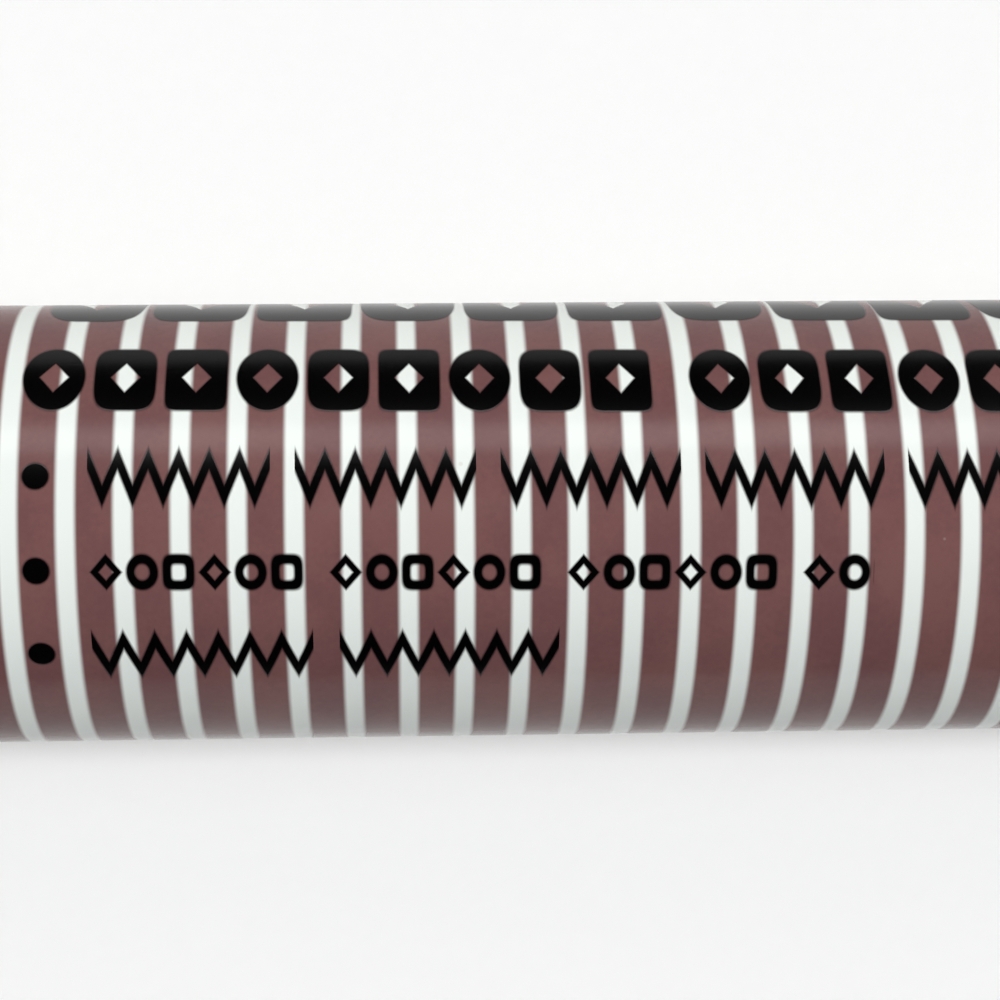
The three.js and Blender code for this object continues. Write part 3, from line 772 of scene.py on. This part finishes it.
collar_start = barrel_end + COLLAR_SEAM
neck_start = collar_start + COLLAR_LENGTH
neck_end = neck_start + NECK_LENGTH
seal_end = neck_end + SEAL_LENGTH
shoulder = collar_start - SHOULDER_DEPTH
holder_profile = [
    (holder_start, SOCKET_RADIUS),
    (holder_start, SKIRT_RADIUS, EDGE),
    *bead(barrel_end - SNAP_FROM_MOUTH, SKIRT_RADIUS, SNAP_WIDTH),
    (collar_start, SKIRT_RADIUS),
    (collar_start, BARREL_RADIUS, EDGE),
    (neck_start, BARREL_RADIUS, EDGE),
    (neck_start, NECK_RADIUS, EDGE),
    *bead(neck_start + BEAD_FROM_COLLAR, NECK_RADIUS, BEAD_WIDTH),
    (neck_end, NECK_RADIUS, NECK_CHAMFER),
    (neck_end, SEAL_RADIUS, EDGE),
    (seal_end, SEAL_RADIUS, NOSE_STEP),
    (seal_end + NOSE_STEP, SEAL_RADIUS - NOSE_STEP, NOSE_STEP),
    (holder_end, NOSE_RADIUS, NOSE_EDGE),
    (holder_end, NIB_BORE, EDGE),
    (seal_end - HOLDER_WALL, NIB_BORE),
    (seal_end - HOLDER_WALL, SEAL_RADIUS - HOLDER_WALL),
    (neck_end - HOLDER_WALL, SEAL_RADIUS - HOLDER_WALL),
    (neck_end - HOLDER_WALL, CHAMBER_RADIUS),
    (shoulder, CHAMBER_RADIUS),
    (shoulder, SOCKET_RADIUS),
]
nib_holder = turned("front_section", holder_profile, closed=True)

# %% [markdown]
# Four small grooves along the bore let air in as ink leaves. Plates cut them. The holder's plastic is
# off-white, and less glossy than the cap's.

# %% Cut the air grooves
AIR_GROOVES = 4
AIR_GROOVE_WIDTH = 0.6
AIR_GROOVE_DEPTH = 0.35
PAST = 0.3


def shaped_by(piece, tools, operation):
    """Join tools to a piece or cut them from it with boolean modifiers, and remove the tools."""
    for tool in tools:
        modifier = piece.modifiers.new(tool.name, "BOOLEAN")
        modifier.operation = operation
        modifier.object = tool
        modifier.solver = "EXACT"
    apply_modifiers(piece)
    for tool in tools:
        bpy.data.objects.remove(tool)


groove_corners = rectangle(seal_end, holder_end + PAST, NIB_BORE - PAST, NIB_BORE + AIR_GROOVE_DEPTH)
groove = radial_plate("air_groove", groove_corners, AIR_GROOVE_WIDTH)
shaped_by(nib_holder, spread(groove, AIR_GROOVES, 180 / AIR_GROOVES), "DIFFERENCE")
smooth(nib_holder, "nib_holder")

# %% The holder's plastic
HOLDER_TONES = colour(236, 234, 227), colour(228, 225, 216)
holder_plastic = moulded_plastic("holder_plastic", HOLDER_TONES, gloss=0.36, peel=0.003)
finish_with(nib_holder, holder_plastic, "holder_plastic")
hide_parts("nib_holder")
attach(nib_holder, "barrel_body")

# %% [markdown]
# ## The nib
#
# The nib is a rod of bonded fibres, ground to a bullet. Its tip follows a quarter of an ellipse that is
# made a little fuller. Soaked with ink, it is dark and hardly shines. Its fibres run lengthwise and are
# finer than the mesh, so a bump in the material shows them.

# %% Turn the nib
NIB_SIDES = 48
OGIVE_START = holder_end + 1.8
OGIVE_STEPS = 14
OGIVE_FULLNESS = 0.8
TIP_FLAT = 0.12
NIB_POINT = 1.6
NIB_SHARP_ANGLE = 60

nib_profile = [
    (nib_start, TIP_FLAT),
    (nib_start + NIB_POINT, NIB_RADIUS),
    (holder_end, NIB_RADIUS),
    (OGIVE_START, NIB_RADIUS),
]
for step in range(1, OGIVE_STEPS + 1):
    angle = math.radians(90 * step / OGIVE_STEPS)
    radius = TIP_FLAT + (NIB_RADIUS - TIP_FLAT) * math.cos(angle) ** OGIVE_FULLNESS
    nib_profile.append((OGIVE_START + (nib_end - OGIVE_START) * math.sin(angle), radius))
nib = turned("bullet_nib", nib_profile, sides=NIB_SIDES)
smooth(nib, "nib", NIB_SHARP_ANGLE)

# %% The nib's felt
FELT_TONES = colour(38, 20, 22), colour(84, 52, 54)
PORE_TONE = colour(22, 12, 14)

nib_felt, shader, place = open_material("nib_felt")
fibre = noise(stretched(place, (900, 9000, 9000)), scale=1.0, detail=5.0)
pores = noise(place, scale=5200.0, detail=3.0)
tone = mixed(between(fibre, low=0.35, high=0.7), *FELT_TONES)
wire(shader, {
    "Base Color": mixed(between(pores, low=0.55, high=0.7), tone, PORE_TONE),
    "Roughness": between(pores, low=0.3, high=0.7, start=0.65, finish=0.95),
    "Normal": bump((fibre + pores) * 0.05),
})
finish_with(nib, nib_felt, "nib_felt")
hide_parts("nib")
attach(nib, "barrel_body")

# %% [markdown]
# ## The inner cap
#
# Vents in the crown keep the cap safe if it is swallowed, so the cap alone can't stop the nib from drying.
# A soft cup inside it does: its lip grips the holder's land. It is a thin turned cup with a flange that the
# shell traps, in a plastic that lets a little light in.

# %% Turn the inner cap
CUP_WALL = 0.6
CUP_TAPER = 1.1
CUP_END_WALL = 0.8
CUP_FLANGE = 1.0
LIP_LENGTH = 2.4
LIP_RELIEF = 0.2
LIP_RADIUS = SEAL_RADIUS + 0.05
MIDDLE_RADIUS = 0.2

cup_bore = LIP_RADIUS + LIP_RELIEF
cup_radius = cup_bore + CUP_WALL
flange_radius = reach("inner_cap")
cup_profile = [
    (cup_end - CUP_END_WALL, MIDDLE_RADIUS),
    (cup_end - CUP_END_WALL, cup_bore - CUP_TAPER, CUP_TAPER),
    (seal_end, cup_bore, LIP_RELIEF),
    (cup_start + LIP_LENGTH + LIP_RELIEF, cup_bore, LIP_RELIEF),
    (cup_start + LIP_LENGTH, LIP_RADIUS, LIP_RELIEF),
    (cup_start + LIP_RELIEF, LIP_RADIUS, LIP_RELIEF),
    (cup_start, cup_bore, LIP_RELIEF),
    (cup_start, flange_radius, LIP_RELIEF),
    (cup_start + CUP_FLANGE, flange_radius, LIP_RELIEF),
    (cup_start + CUP_FLANGE, cup_radius),
    (seal_end, cup_radius, LIP_RELIEF),
    (cup_end, cup_radius - CUP_TAPER, CUP_TAPER),
    (cup_end, MIDDLE_RADIUS),
]
inner_cap = turned("sealing_cup", cup_profile)
smooth(inner_cap, "inner_cap")

# %% The inner cap's plastic
SEAL_TONES = colour(240, 238, 230), colour(230, 228, 219)
seal_plastic = moulded_plastic("seal_plastic", SEAL_TONES, gloss=0.45, dust=0.2)
seal_shader = seal_plastic.node_tree.nodes["Principled BSDF"]
wire(seal_shader, {"Subsurface Weight": 0.3, "Subsurface Scale": 0.5 * MM})
finish_with(inner_cap, seal_plastic, "seal_plastic")
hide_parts("inner_cap")
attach(inner_cap, "inner_cap_body")

# %% [markdown]
# ## The cap shell
#
# The shell is a thin cup that narrows a little towards its crown, so that it leaves its mould. It has a
# ring of grip flutes near the rim, three curved vents in the crown and a low boss for the clip. The cup is
# turned with eight sides to each flute, and with extra stations beside the flutes' ends.

# %% Turn the shell
CAP_WALL = 1.05
CAP_RIM_EDGE = 0.25
CROWN_TAPER = 0.3
CROWN_EDGE = 1.7
CROWN_WALL = 1.2
CROWN_MIDDLE_RADIUS = 0.4
FLUTES = 30
FLUTE_SIDES = 8
FLUTE_FROM_RIM = 1.3
FLUTE_LENGTH = 6.5
FLUTE_RAMP = 0.5
RETAINER_RADIUS = 4.75
RETAINER_GAP = 0.2
RETAINER_WIDTH = 0.5
GROOVE_DEPTH = 0.15
GROOVE_WIDTH = BEAD_WIDTH + 0.24

cap_bore = BARREL_RADIUS - CAP_WALL
crown_radius = BARREL_RADIUS - CROWN_TAPER
crown_bore = crown_radius - CAP_WALL
crown_inside = cap_end - CROWN_WALL
flute_start = cap_start + FLUTE_FROM_RIM
flute_end = flute_start + FLUTE_LENGTH
retainer_start = neck_end + RETAINER_GAP
retainer_end = retainer_start + RETAINER_WIDTH
flute_places = [flute_start + FLUTE_RAMP * i for i in (-1, 0, 1, 2)]
flute_places += [flute_end + FLUTE_RAMP * i for i in (-2, -1, 0, 1)]
shell_profile = [
    (crown_inside, MIDDLE_RADIUS),
    (crown_inside, crown_bore, CROWN_EDGE),
    (cup_start + CUP_FLANGE, cap_bore),
    (retainer_end, cap_bore),
    (retainer_end, RETAINER_RADIUS, GROOVE_DEPTH),
    (retainer_start, RETAINER_RADIUS, GROOVE_DEPTH),
    (retainer_start, cap_bore),
    *reversed(bead(neck_start + BEAD_FROM_COLLAR, cap_bore, GROOVE_WIDTH, GROOVE_DEPTH)),
    (cap_start, cap_bore, CAP_RIM_EDGE),
    (cap_start, BARREL_RADIUS, CAP_RIM_EDGE),
    *((place, BARREL_RADIUS) for place in flute_places),
    (cap_end, crown_radius, CROWN_EDGE),
    (cap_end, CROWN_MIDDLE_RADIUS),
]
cap_shell = turned("cap_outer", shell_profile, sides=FLUTES * FLUTE_SIDES)

# %% [markdown]
# The flutes are pressed in by drawing columns of vertices towards the axis, which keeps the mesh clean. The
# second press stays a little inside the first, so that the ends of a flute run out softly.

# %% Press in the flutes
FLUTE_DEPTH = 0.22


def select_in(piece, parts, chosen):
    """Go into edit mode with only the chosen vertices or edges selected."""
    begin(piece)
    end()
    for part in parts:
        part.select = chosen(part)
    bpy.ops.object.mode_set(mode="EDIT")


def press_flutes(piece, inset, share):
    """Draw columns of vertices towards the axis, deepest in the middle of each flute."""
    column = 2 * math.pi / (FLUTES * FLUTE_SIDES)
    low, high = flute_start + inset, flute_end - inset
    for level in range(1, FLUTE_SIDES // 2 + 1):

        def on_level(vertex):
            """Whether a vertex is in the flutes' band and in a column of this level."""
            radius = math.hypot(vertex.co.y, vertex.co.z) / MM
            number = round(math.atan2(vertex.co.y, vertex.co.z) / column) % FLUTE_SIDES
            in_band = low < -vertex.co.x / MM < high and radius > BARREL_RADIUS - CAP_WALL / 2
            return in_band and number in (level, FLUTE_SIDES - level)

        select_in(piece, piece.data.vertices, on_level)
        depth = share * FLUTE_DEPTH * (1 - math.cos(2 * math.pi * level / FLUTE_SIDES)) / 2
        ratio = 1 - depth / BARREL_RADIUS
        bpy.ops.transform.resize(value=(1, ratio, ratio), center_override=(0, 0, 0))
        end()


press_flutes(cap_shell, FLUTE_RAMP / 2, 0.7)
press_flutes(cap_shell, 1.5 * FLUTE_RAMP, 0.3)
print("pressed in", FLUTES, "flutes")

# %% [markdown]
# The clip's boss is a block whose top is curved like the cap. A side profile that is spun about the axis
# through a small angle gives just that. A bevel rounds its upright edges.

# %% Add the boss
BOSS_LENGTH = 5.5
BOSS_HEIGHT = 1.2
BOSS_SUNK = 0.4
BOSS_STEPS = 12
CLIP_SETBACK = 2.4
CLIP_ROOT_WIDTH = 5.2
CLIP_ROUNDING = 1.2
ROUND_STEPS = 6

boss_front = cap_end - CLIP_SETBACK
boss_back = boss_front - BOSS_LENGTH
boss_top = crown_radius + BOSS_HEIGHT


def spun(name, corners, half_angle, steps):
    """A side profile spun about the axis through an angle each way from the top."""
    piece = turn_about_axis(sheet_of(name, corners), half_angle)
    begin(piece, "SELECT")
    turn = math.radians(2 * half_angle)
    bpy.ops.mesh.spin(steps=steps, angle=turn, center=(0, 0, 0), axis=(1, 0, 0))
    end()
    return close_up(piece)


def is_upright(edge):
    """Whether an edge of the boss points away from the axis."""
    first, second = (boss.data.vertices[i].co for i in edge.vertices)
    rise = abs(math.hypot(first.y, first.z) - math.hypot(second.y, second.z))
    return abs(first.x - second.x) < WELD and rise > BOSS_HEIGHT / 4 * MM


boss_corners = rectangle(boss_back, boss_front, crown_bore + BOSS_SUNK, boss_top)
boss_half_angle = math.degrees(math.asin(CLIP_ROOT_WIDTH / 2 / boss_top))
boss = spun("clip_boss", boss_corners, boss_half_angle, BOSS_STEPS)
select_in(boss, boss.data.edges, is_upright)
bpy.ops.mesh.select_mode(type="EDGE")
bpy.ops.mesh.bevel(offset=CLIP_ROUNDING * MM, segments=ROUND_STEPS, affect="EDGES", clamp_overlap=True)
bpy.ops.mesh.select_mode(type="VERT")
end()
shaped_by(cap_shell, [boss], "UNION")
print("boss joined, with the shell at", len(cap_shell.data.polygons), "faces")

# %% [markdown]
# The vents are curved slots. Each is cut with a round peg through the crown, whose two halves are turned
# apart about the axis, so that the slot follows the crown's edge.

# %% Cut the vents
VENTS = 3
VENT_SIDES = 32
VENT_PLACE = 3.2
VENT_RADIUS = 0.7
VENT_HALF_SPAN = 8.0
VENT_DEPTH = CROWN_WALL + 0.6

size = {"vertices": VENT_SIDES, "radius": VENT_RADIUS * MM, "depth": VENT_DEPTH * MM}
at = {"location": (-(crown_inside + CROWN_WALL / 2) * MM, 0, VENT_PLACE * MM), "rotation": ACROSS}
peg = fresh("vent_peg", bpy.ops.mesh.primitive_cylinder_add, **size, **at)
for vertex in peg.data.vertices:
    side = 1 if vertex.co.y > WELD / 10 else -1
    vertex.co = Matrix.Rotation(math.radians(-side * VENT_HALF_SPAN), 4, "X") @ vertex.co
shaped_by(cap_shell, spread(peg, VENTS), "DIFFERENCE")
print(VENTS, "vents cut")

# %% [markdown]
# Ribs inside the shell centre the inner cap and stop it at the right depth. The whole shell is then turned
# about the axis, so that the clip comes where it lies on the table.

# %% Join the ribs and turn the shell to its place
CAP_RIBS = 6
CAP_RIB_THICKNESS = 0.7
RIB_HUB = 1.2
RIB_GAP = 0.12

rib_corners = [
    (cup_start + CUP_FLANGE + RIB_GAP, cup_radius + RIB_GAP),
    (cup_start + CUP_FLANGE + RIB_GAP, cap_bore + PAST),
    (crown_inside + PAST, crown_bore + PAST),
    (crown_inside + PAST, RIB_HUB),
    (cup_end + RIB_GAP, RIB_HUB),
    (cup_end + RIB_GAP, cup_radius - CUP_TAPER + RIB_GAP),
    (seal_end, cup_radius + RIB_GAP),
]
rib = radial_plate("shell_rib", rib_corners, CAP_RIB_THICKNESS)
shaped_by(cap_shell, spread(rib, CAP_RIBS, 180 / CAP_RIBS), "UNION")

clip_corners = [v.co for v in frame["nodes"]["clip"].data.vertices]
clip_angle = math.degrees(math.atan2(sum(c.y for c in clip_corners), sum(c.z for c in clip_corners)))
turn_about_axis(cap_shell, -clip_angle)
print(f"the clip lies {clip_angle:.0f} degrees from the top")
smooth(cap_shell, "cap_shell")
finish_with(cap_shell, cap_plastic, "cap_plastic")
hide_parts("cap_shell")
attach(cap_shell, "cap_body")

# %% [markdown]
# ## The clip
#
# The clip is a springy arm. Its root lies on the boss, the arm bows gently and a rounded pad near the tip
# presses on the cloth of a pocket. It is made as one cross-section, a plate with rounded corners, that is
# extruded from the tip to the root and resized on the way. Two lines give the height of its underside and
# of its back at each place.

# %% Draw the clip's two lines
CLIP_SEAT_GAP = 0.12
CLIP_ROOT_THICKNESS = 1.3
CLIP_ARM_THICKNESS = 1.0
CLIP_ARM_GAP = 1.3
CLIP_BOW = 0.25
CLIP_PAD_LENGTH = 4.4
CLIP_PAD_GAP = 0.35
CLIP_TIP_LIFT = 0.7

root_bottom = boss_top + CLIP_SEAT_GAP
arm_inner = BARREL_RADIUS + CLIP_ARM_GAP
pad_inner = BARREL_RADIUS + CLIP_PAD_GAP
pad_end = clip_start + CLIP_PAD_LENGTH
arm_middle = (boss_back + pad_end) / 2
underside = softened([
    (clip_start, pad_inner + CLIP_TIP_LIFT),
    (clip_start + CLIP_PAD_LENGTH / 2, pad_inner, CLIP_ROUNDING),
    (pad_end, arm_inner, CLIP_ROUNDING),
    (arm_middle, arm_inner + CLIP_BOW, BOSS_LENGTH),
    (boss_back, root_bottom, CLIP_ROUNDING),
    (boss_front, root_bottom),
])
back = softened([
    (clip_start, arm_inner + CLIP_ARM_THICKNESS),
    (arm_middle, arm_inner + CLIP_BOW + CLIP_ARM_THICKNESS, BOSS_LENGTH),
    (boss_front, root_bottom + CLIP_ROOT_THICKNESS),
])


def height_on(line, place):
    """The height of a line at a place along the marker."""
    for first, second in zip(line, line[1:]):
        if place <= second.x:
            return first.lerp(second, (place - first.x) / (second.x - first.x)).y
    return line[-1].y


thickness = height_on(back, arm_middle) - height_on(underside, arm_middle)
print("the arm is", round(thickness, 2), "mm thick in its middle")

# %% [markdown]
# The ends are rounded seen from above and from the side. Near an end the cross-section therefore gets
# narrower and thinner, by what a circle of the rounding's radius takes away.

# %% Work out the clip's cross-sections
CLIP_TIP_WIDTH = 3.8
CLIP_STEP = 0.8
BACK_ROUNDING = 0.8
UNDER_ROUNDING = 0.25
END_STEPS = (0.0, 0.03, 0.1, 0.2, 0.35, 0.55, 0.8, 1.15)


def taken_off(distance, rounding):
    """How much a rounded end takes off at a distance from it."""
    left = max(0.0, 1 - distance / rounding)
    return rounding * (1 - math.sqrt(1 - left**2))


def cross_section(place):
    """The clip's place, half its width, and the heights of its underside and back."""
    from_tip, from_root = place - clip_start, boss_front - place
    share = from_tip / (boss_front - clip_start)
    half_width = CLIP_TIP_WIDTH / 2 * (1 - share) + CLIP_ROOT_WIDTH / 2 * share
    under, top = height_on(underside, place), height_on(back, place)
    for distance in (from_tip, from_root):
        half_width -= taken_off(distance, CLIP_ROUNDING)
        under += taken_off(distance, UNDER_ROUNDING)
        top -= taken_off(distance, BACK_ROUNDING)
    return place, half_width, under, top


first_step, last_step = clip_start + END_STEPS[-1], boss_front - END_STEPS[-1]
count = round((last_step - first_step) / CLIP_STEP)
clip_places = [clip_start + d for d in END_STEPS]
clip_places += [first_step + (last_step - first_step) * i / count for i in range(1, count)]
clip_places += [boss_front - d for d in reversed(END_STEPS)]
sections = [cross_section(place) for place in clip_places]
print(len(sections), "cross-sections from the tip to the root")

# %% Extrude the clip
CLIP_EDGE = 0.3
CLIP_EDGE_STEPS = 4
EDGE_CUTS = 7

clip = fresh("pocket_clip", bpy.ops.mesh.primitive_plane_add, size=MM, rotation=ACROSS)
begin(clip, "SELECT")
bpy.ops.transform.resize(value=(1, CLIP_TIP_WIDTH, CLIP_ARM_THICKNESS))
bpy.ops.transform.translate(value=(-clip_start * MM, 0, 0))
bpy.ops.mesh.bevel(offset=CLIP_EDGE * MM, segments=CLIP_EDGE_STEPS, affect="VERTICES")
bpy.ops.mesh.select_all(action="SELECT")
bpy.ops.mesh.subdivide(number_cuts=EDGE_CUTS)
bpy.ops.mesh.select_all(action="SELECT")
last, half_width, thickness, middle = clip_start, CLIP_TIP_WIDTH / 2, CLIP_ARM_THICKNESS, 0.0
for place, next_width, under, top in sections:
    next_middle = (under + top) / 2
    if place > clip_start:
        extrude(last - place, 0, next_middle - middle)
    else:
        bpy.ops.transform.translate(value=(0, 0, next_middle * MM))
    growth = (1, next_width / half_width, (top - under) / thickness)
    bpy.ops.transform.resize(value=growth, center_override=(-place * MM, 0, next_middle * MM))
    last, half_width, thickness, middle = place, next_width, top - under, next_middle
end()
print(clip.name, "has", len(clip.data.vertices), "vertices")

# %% [markdown]
# So far the clip is a flat bar. Pressing it round the axis turns every vertex's height into its radius,
# and the cuts made in the first cross-section let it curve. The real clip bends along its arm while its
# root stays put. The joint in the frame turns the whole clip.

# %% Press the clip round the axis
CLIP_SHARP_ANGLE = 60

for vertex in clip.data.vertices:
    vertex.co.z = math.sqrt(vertex.co.z**2 - vertex.co.y**2)
turn_about_axis(close_up(clip), -clip_angle)
smooth(clip, "clip", CLIP_SHARP_ANGLE)
finish_with(clip, cap_plastic, "cap_plastic")

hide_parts("clip")
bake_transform(clip)

# %% [markdown]
# ## The pieces inside
#
# The reservoir core, its film and the breather tube never show while the marker is whole. Their solids have
# the right shape, so they stay as they are and only get a finish: inky fibre and milky plastic.

# %% Finish the pieces inside
FILM_TONES = colour(226, 222, 214), colour(212, 207, 198)
FIBRE_TONES = colour(40, 22, 24), colour(92, 58, 60)

film_plastic = moulded_plastic("film_plastic", FILM_TONES, gloss=0.2, dust=0.0)
inked_fibre, shader, place = open_material("inked_fibre")
fibre = noise(stretched(place, (300, 6000, 6000)), scale=1.0, detail=4.0)
wire(shader, {
    "Base Color": mixed(fibre, *FIBRE_TONES),
    "Roughness": between(fibre, low=0.3, high=0.7, start=0.7, finish=0.95),
    "Normal": bump(fibre * 0.06),
})
finishes = {"reservoir_core": inked_fibre, "reservoir_film": film_plastic, "breather_tube": film_plastic}
for node, material in finishes.items():
    inside = frame["nodes"][node].data.materials
    inside.clear()
    inside.append(material)
print("finished", ", ".join(finishes))

# %% [markdown]
# ## Paper, light and camera
#
# The marker lies on plain white paper. In the picture the paper is almost white, also in the marker's
# shadow. More light would bleach the barrel too, so the sheet is light grey and adds a little white of its
# own, only for the rays that look at it.

# %% Lay the paper
PAPER_SIZE = 6.0
PAPER_GREY = colour(201, 200, 200)
LIGHT_PAPER_GREY = colour(206, 205, 205)
PAPER_GLOW = colour(163, 162, 162)
NO_LIGHT = (0.0, 0.0, 0.0, 1.0)


def looked_at(tree):
    """1 for rays that look at a surface, straight or in a mirror, and 0 for rays that light others."""
    rays = add(tree, "LightPath").outputs
    camera, glossy = Amount(rays["Is Camera Ray"]), Amount(rays["Is Glossy Ray"])
    return maths("MAXIMUM", maths("MAXIMUM", camera, glossy), Amount(rays["Is Transmission Ray"]))


white_paper, shader, place = open_material("white_paper")
grain = noise(place, scale=1800.0, detail=4.0)
wire(shader, {
    "Base Color": mixed(grain, PAPER_GREY, LIGHT_PAPER_GREY),
    "Emission Color": mixed(looked_at(place.tree), NO_LIGHT, PAPER_GLOW),
    "Emission Strength": 1.0,
    "Normal": bump(grain * 0.01),
    "Roughness": 0.9,
    "Specular IOR Level": 0.15,
})
at = (0, 0, -BARREL_RADIUS * MM)
paper = fresh("paper", bpy.ops.mesh.primitive_plane_add, size=PAPER_SIZE, location=at)
paper.data.materials.append(white_paper)
paper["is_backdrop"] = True
print("paper laid at", round(-BARREL_RADIUS, 2), "mm")

# %% [markdown]
# Three soft lamps are overhead, one above the middle and one towards each end, so there is hardly a shadow
# beside the barrel and the cap's crown isn't dark. A fourth comes in low over the far side, so the near
# side of the barrel is darker. None of them shows in the gloss.

# %% Set the lamps
OVERHEAD_TILT = 6.0
SIDE_TILT = 50.0
END_LEAN = 50.0
COOL_TINT = (0.96, 1.0, 0.995)
WARM_TINT = (1.0, 0.965, 0.91)

marker_middle = Vector((-cap_end / 2 * MM, 0, 0))


def add_lamp(name, kind, tilt, distance, lean=0.0):
    """A lamp that faces the marker's middle, tilted from overhead to +Y and leaning to +X."""
    lamp = bpy.data.objects.new(name, bpy.data.lights.new(name, kind))
    bpy.context.scene.collection.objects.link(lamp)
    tilted = Matrix.Rotation(-math.radians(tilt), 3, "X")
    upright = tilted @ Matrix.Rotation(math.radians(lean), 3, "Y")
    lamp.location = marker_middle + upright @ Vector((0, 0, distance))
    lamp.rotation_euler = upright.to_euler()
    return lamp


def add_soft_sun(name, tilt, spread, level, tint, lean=0.0):
    """A distant lamp. At level 1 a surface that faces it shows its colour as written."""
    lamp = add_lamp(name, "SUN", tilt, 1.0, lean)
    lamp.data.energy = level * math.pi
    lamp.data.angle = math.radians(spread)
    lamp.data.color = tint
    lamp.visible_glossy = False
    print(name, "lamp at level", level)


add_soft_sun("overhead", OVERHEAD_TILT, spread=12.0, level=0.56, tint=COOL_TINT)
add_soft_sun("tail_end", OVERHEAD_TILT, spread=25.0, level=0.22, tint=COOL_TINT, lean=END_LEAN)
add_soft_sun("cap_end", OVERHEAD_TILT, spread=25.0, level=0.22, tint=COOL_TINT, lean=-END_LEAN)
add_soft_sun("side", SIDE_TILT, spread=50.0, level=0.2, tint=WARM_TINT)

# %% [markdown]
# What the gloss mirrors is set apart from that, as a studio does with cards. A dark arch over the marker
# keeps its black print black, and one dim strip under the arch draws a faint streak. Past the arch, towards
# both ends, the gloss meets the white surroundings.

# %% Hang the streak and the dark arch
STREAK_TILT = 43.0
STREAK_DISTANCE = 0.45
STREAK_WIDTH = 0.11
STREAK_LENGTH = 0.8
STREAK_RADIANCE = 4.6
ARCH_RADIUS = 0.5
ARCH_WIDTH = 0.4
ARCH_SIDES = 64

streak = add_lamp("streak", "AREA", STREAK_TILT, STREAK_DISTANCE)
streak.data.shape = "RECTANGLE"
streak.data.size = STREAK_LENGTH
streak.data.size_y = STREAK_WIDTH
streak.data.energy = STREAK_RADIANCE * math.pi * STREAK_LENGTH * STREAK_WIDTH
size = {"vertices": ARCH_SIDES, "radius": ARCH_RADIUS, "depth": ARCH_WIDTH, "end_fill_type": "NOTHING"}
at = {"location": marker_middle, "rotation": ACROSS}
arch = fresh("dark_arch", bpy.ops.mesh.primitive_cylinder_add, **size, **at)
begin(arch, "SELECT")
bpy.ops.mesh.bisect(plane_co=(0, 0, 0), plane_no=(0, 0, -1), clear_outer=True)
end()
dark_cloth, shader, _ = open_material("dark_cloth")
wire(shader, {"Base Color": NO_LIGHT, "Specular IOR Level": 0.0})
arch.data.materials.append(dark_cloth)
for card in (streak, arch):
    card.visible_camera = False
    card.visible_diffuse = False
arch.visible_transmission = False
arch.visible_shadow = False
arch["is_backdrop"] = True
print("arch", ARCH_WIDTH, "m wide over the marker")

# %% Light the surroundings
FILL = 0.04

world = bpy.data.worlds.new("studio")
bpy.context.scene.world = world
world.use_nodes = True
inputs = {"Value": looked_at(world.node_tree), "To Min": FILL, "To Max": 1.0}
strength = Amount(add(world.node_tree, "MapRange", inputs).outputs[0])
wire(world.node_tree.nodes["Background"], {"Color": colour(252, 253, 252), "Strength": strength})
print("fill from the surroundings:", FILL)

# %% [markdown]
# The camera is worked out from the picture: two edges of the barrel and seventeen rings fix how far away it
# was and how it was turned. The distance is in barrel radii, and the turns are small angles about its axes.

# %% Place the camera
CAMERA_DISTANCE = 11.204
CAMERA_TURNS = (-0.445, 2.481, 0.535)
FOCAL_PIXELS = 2415.2
PICTURE_PIXELS = 1000
SENSOR = 36.0

turn_x, turn_y, turn_z = (Matrix.Rotation(math.radians(a), 4, axis) for a, axis in zip(CAMERA_TURNS, "XYZ"))
camera_data = bpy.data.cameras.new("picture")
camera_data.sensor_width = SENSOR
camera_data.lens = FOCAL_PIXELS / PICTURE_PIXELS * SENSOR
camera_data.clip_start = 0.005
camera_data.clip_end = 20
camera = bpy.data.objects.new("picture", camera_data)
bpy.context.scene.collection.objects.link(camera)
standpoint = Matrix.Translation((-PICTURE_MIDDLE * MM, 0, CAMERA_DISTANCE * BARREL_RADIUS * MM))
camera.matrix_world = standpoint @ (turn_z @ turn_y @ turn_x).inverted()
bpy.context.scene.camera = camera
bpy.context.scene.view_settings.view_transform = "Standard"
print(f"camera {CAMERA_DISTANCE * BARREL_RADIUS:.0f} mm above the axis, lens {camera_data.lens:.1f} mm")

# %% [markdown]
# ## Sizes and the end
#
# The smooth model is meant to stay in the frame's box, so the two boxes are compared and their difference is
# printed.

# %% Compare the boxes
bpy.context.view_layer.update()
low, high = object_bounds()
sizes = {
    "cad_low": list(cad_low),
    "cad_high": list(cad_high),
    "visual_low": list(low),
    "visual_high": list(high),
}
gaps = [round((b - a) / MM, 2) for a, b in zip((*cad_low, *cad_high), (*low, *high))]
print("difference of the boxes in mm:", gaps)
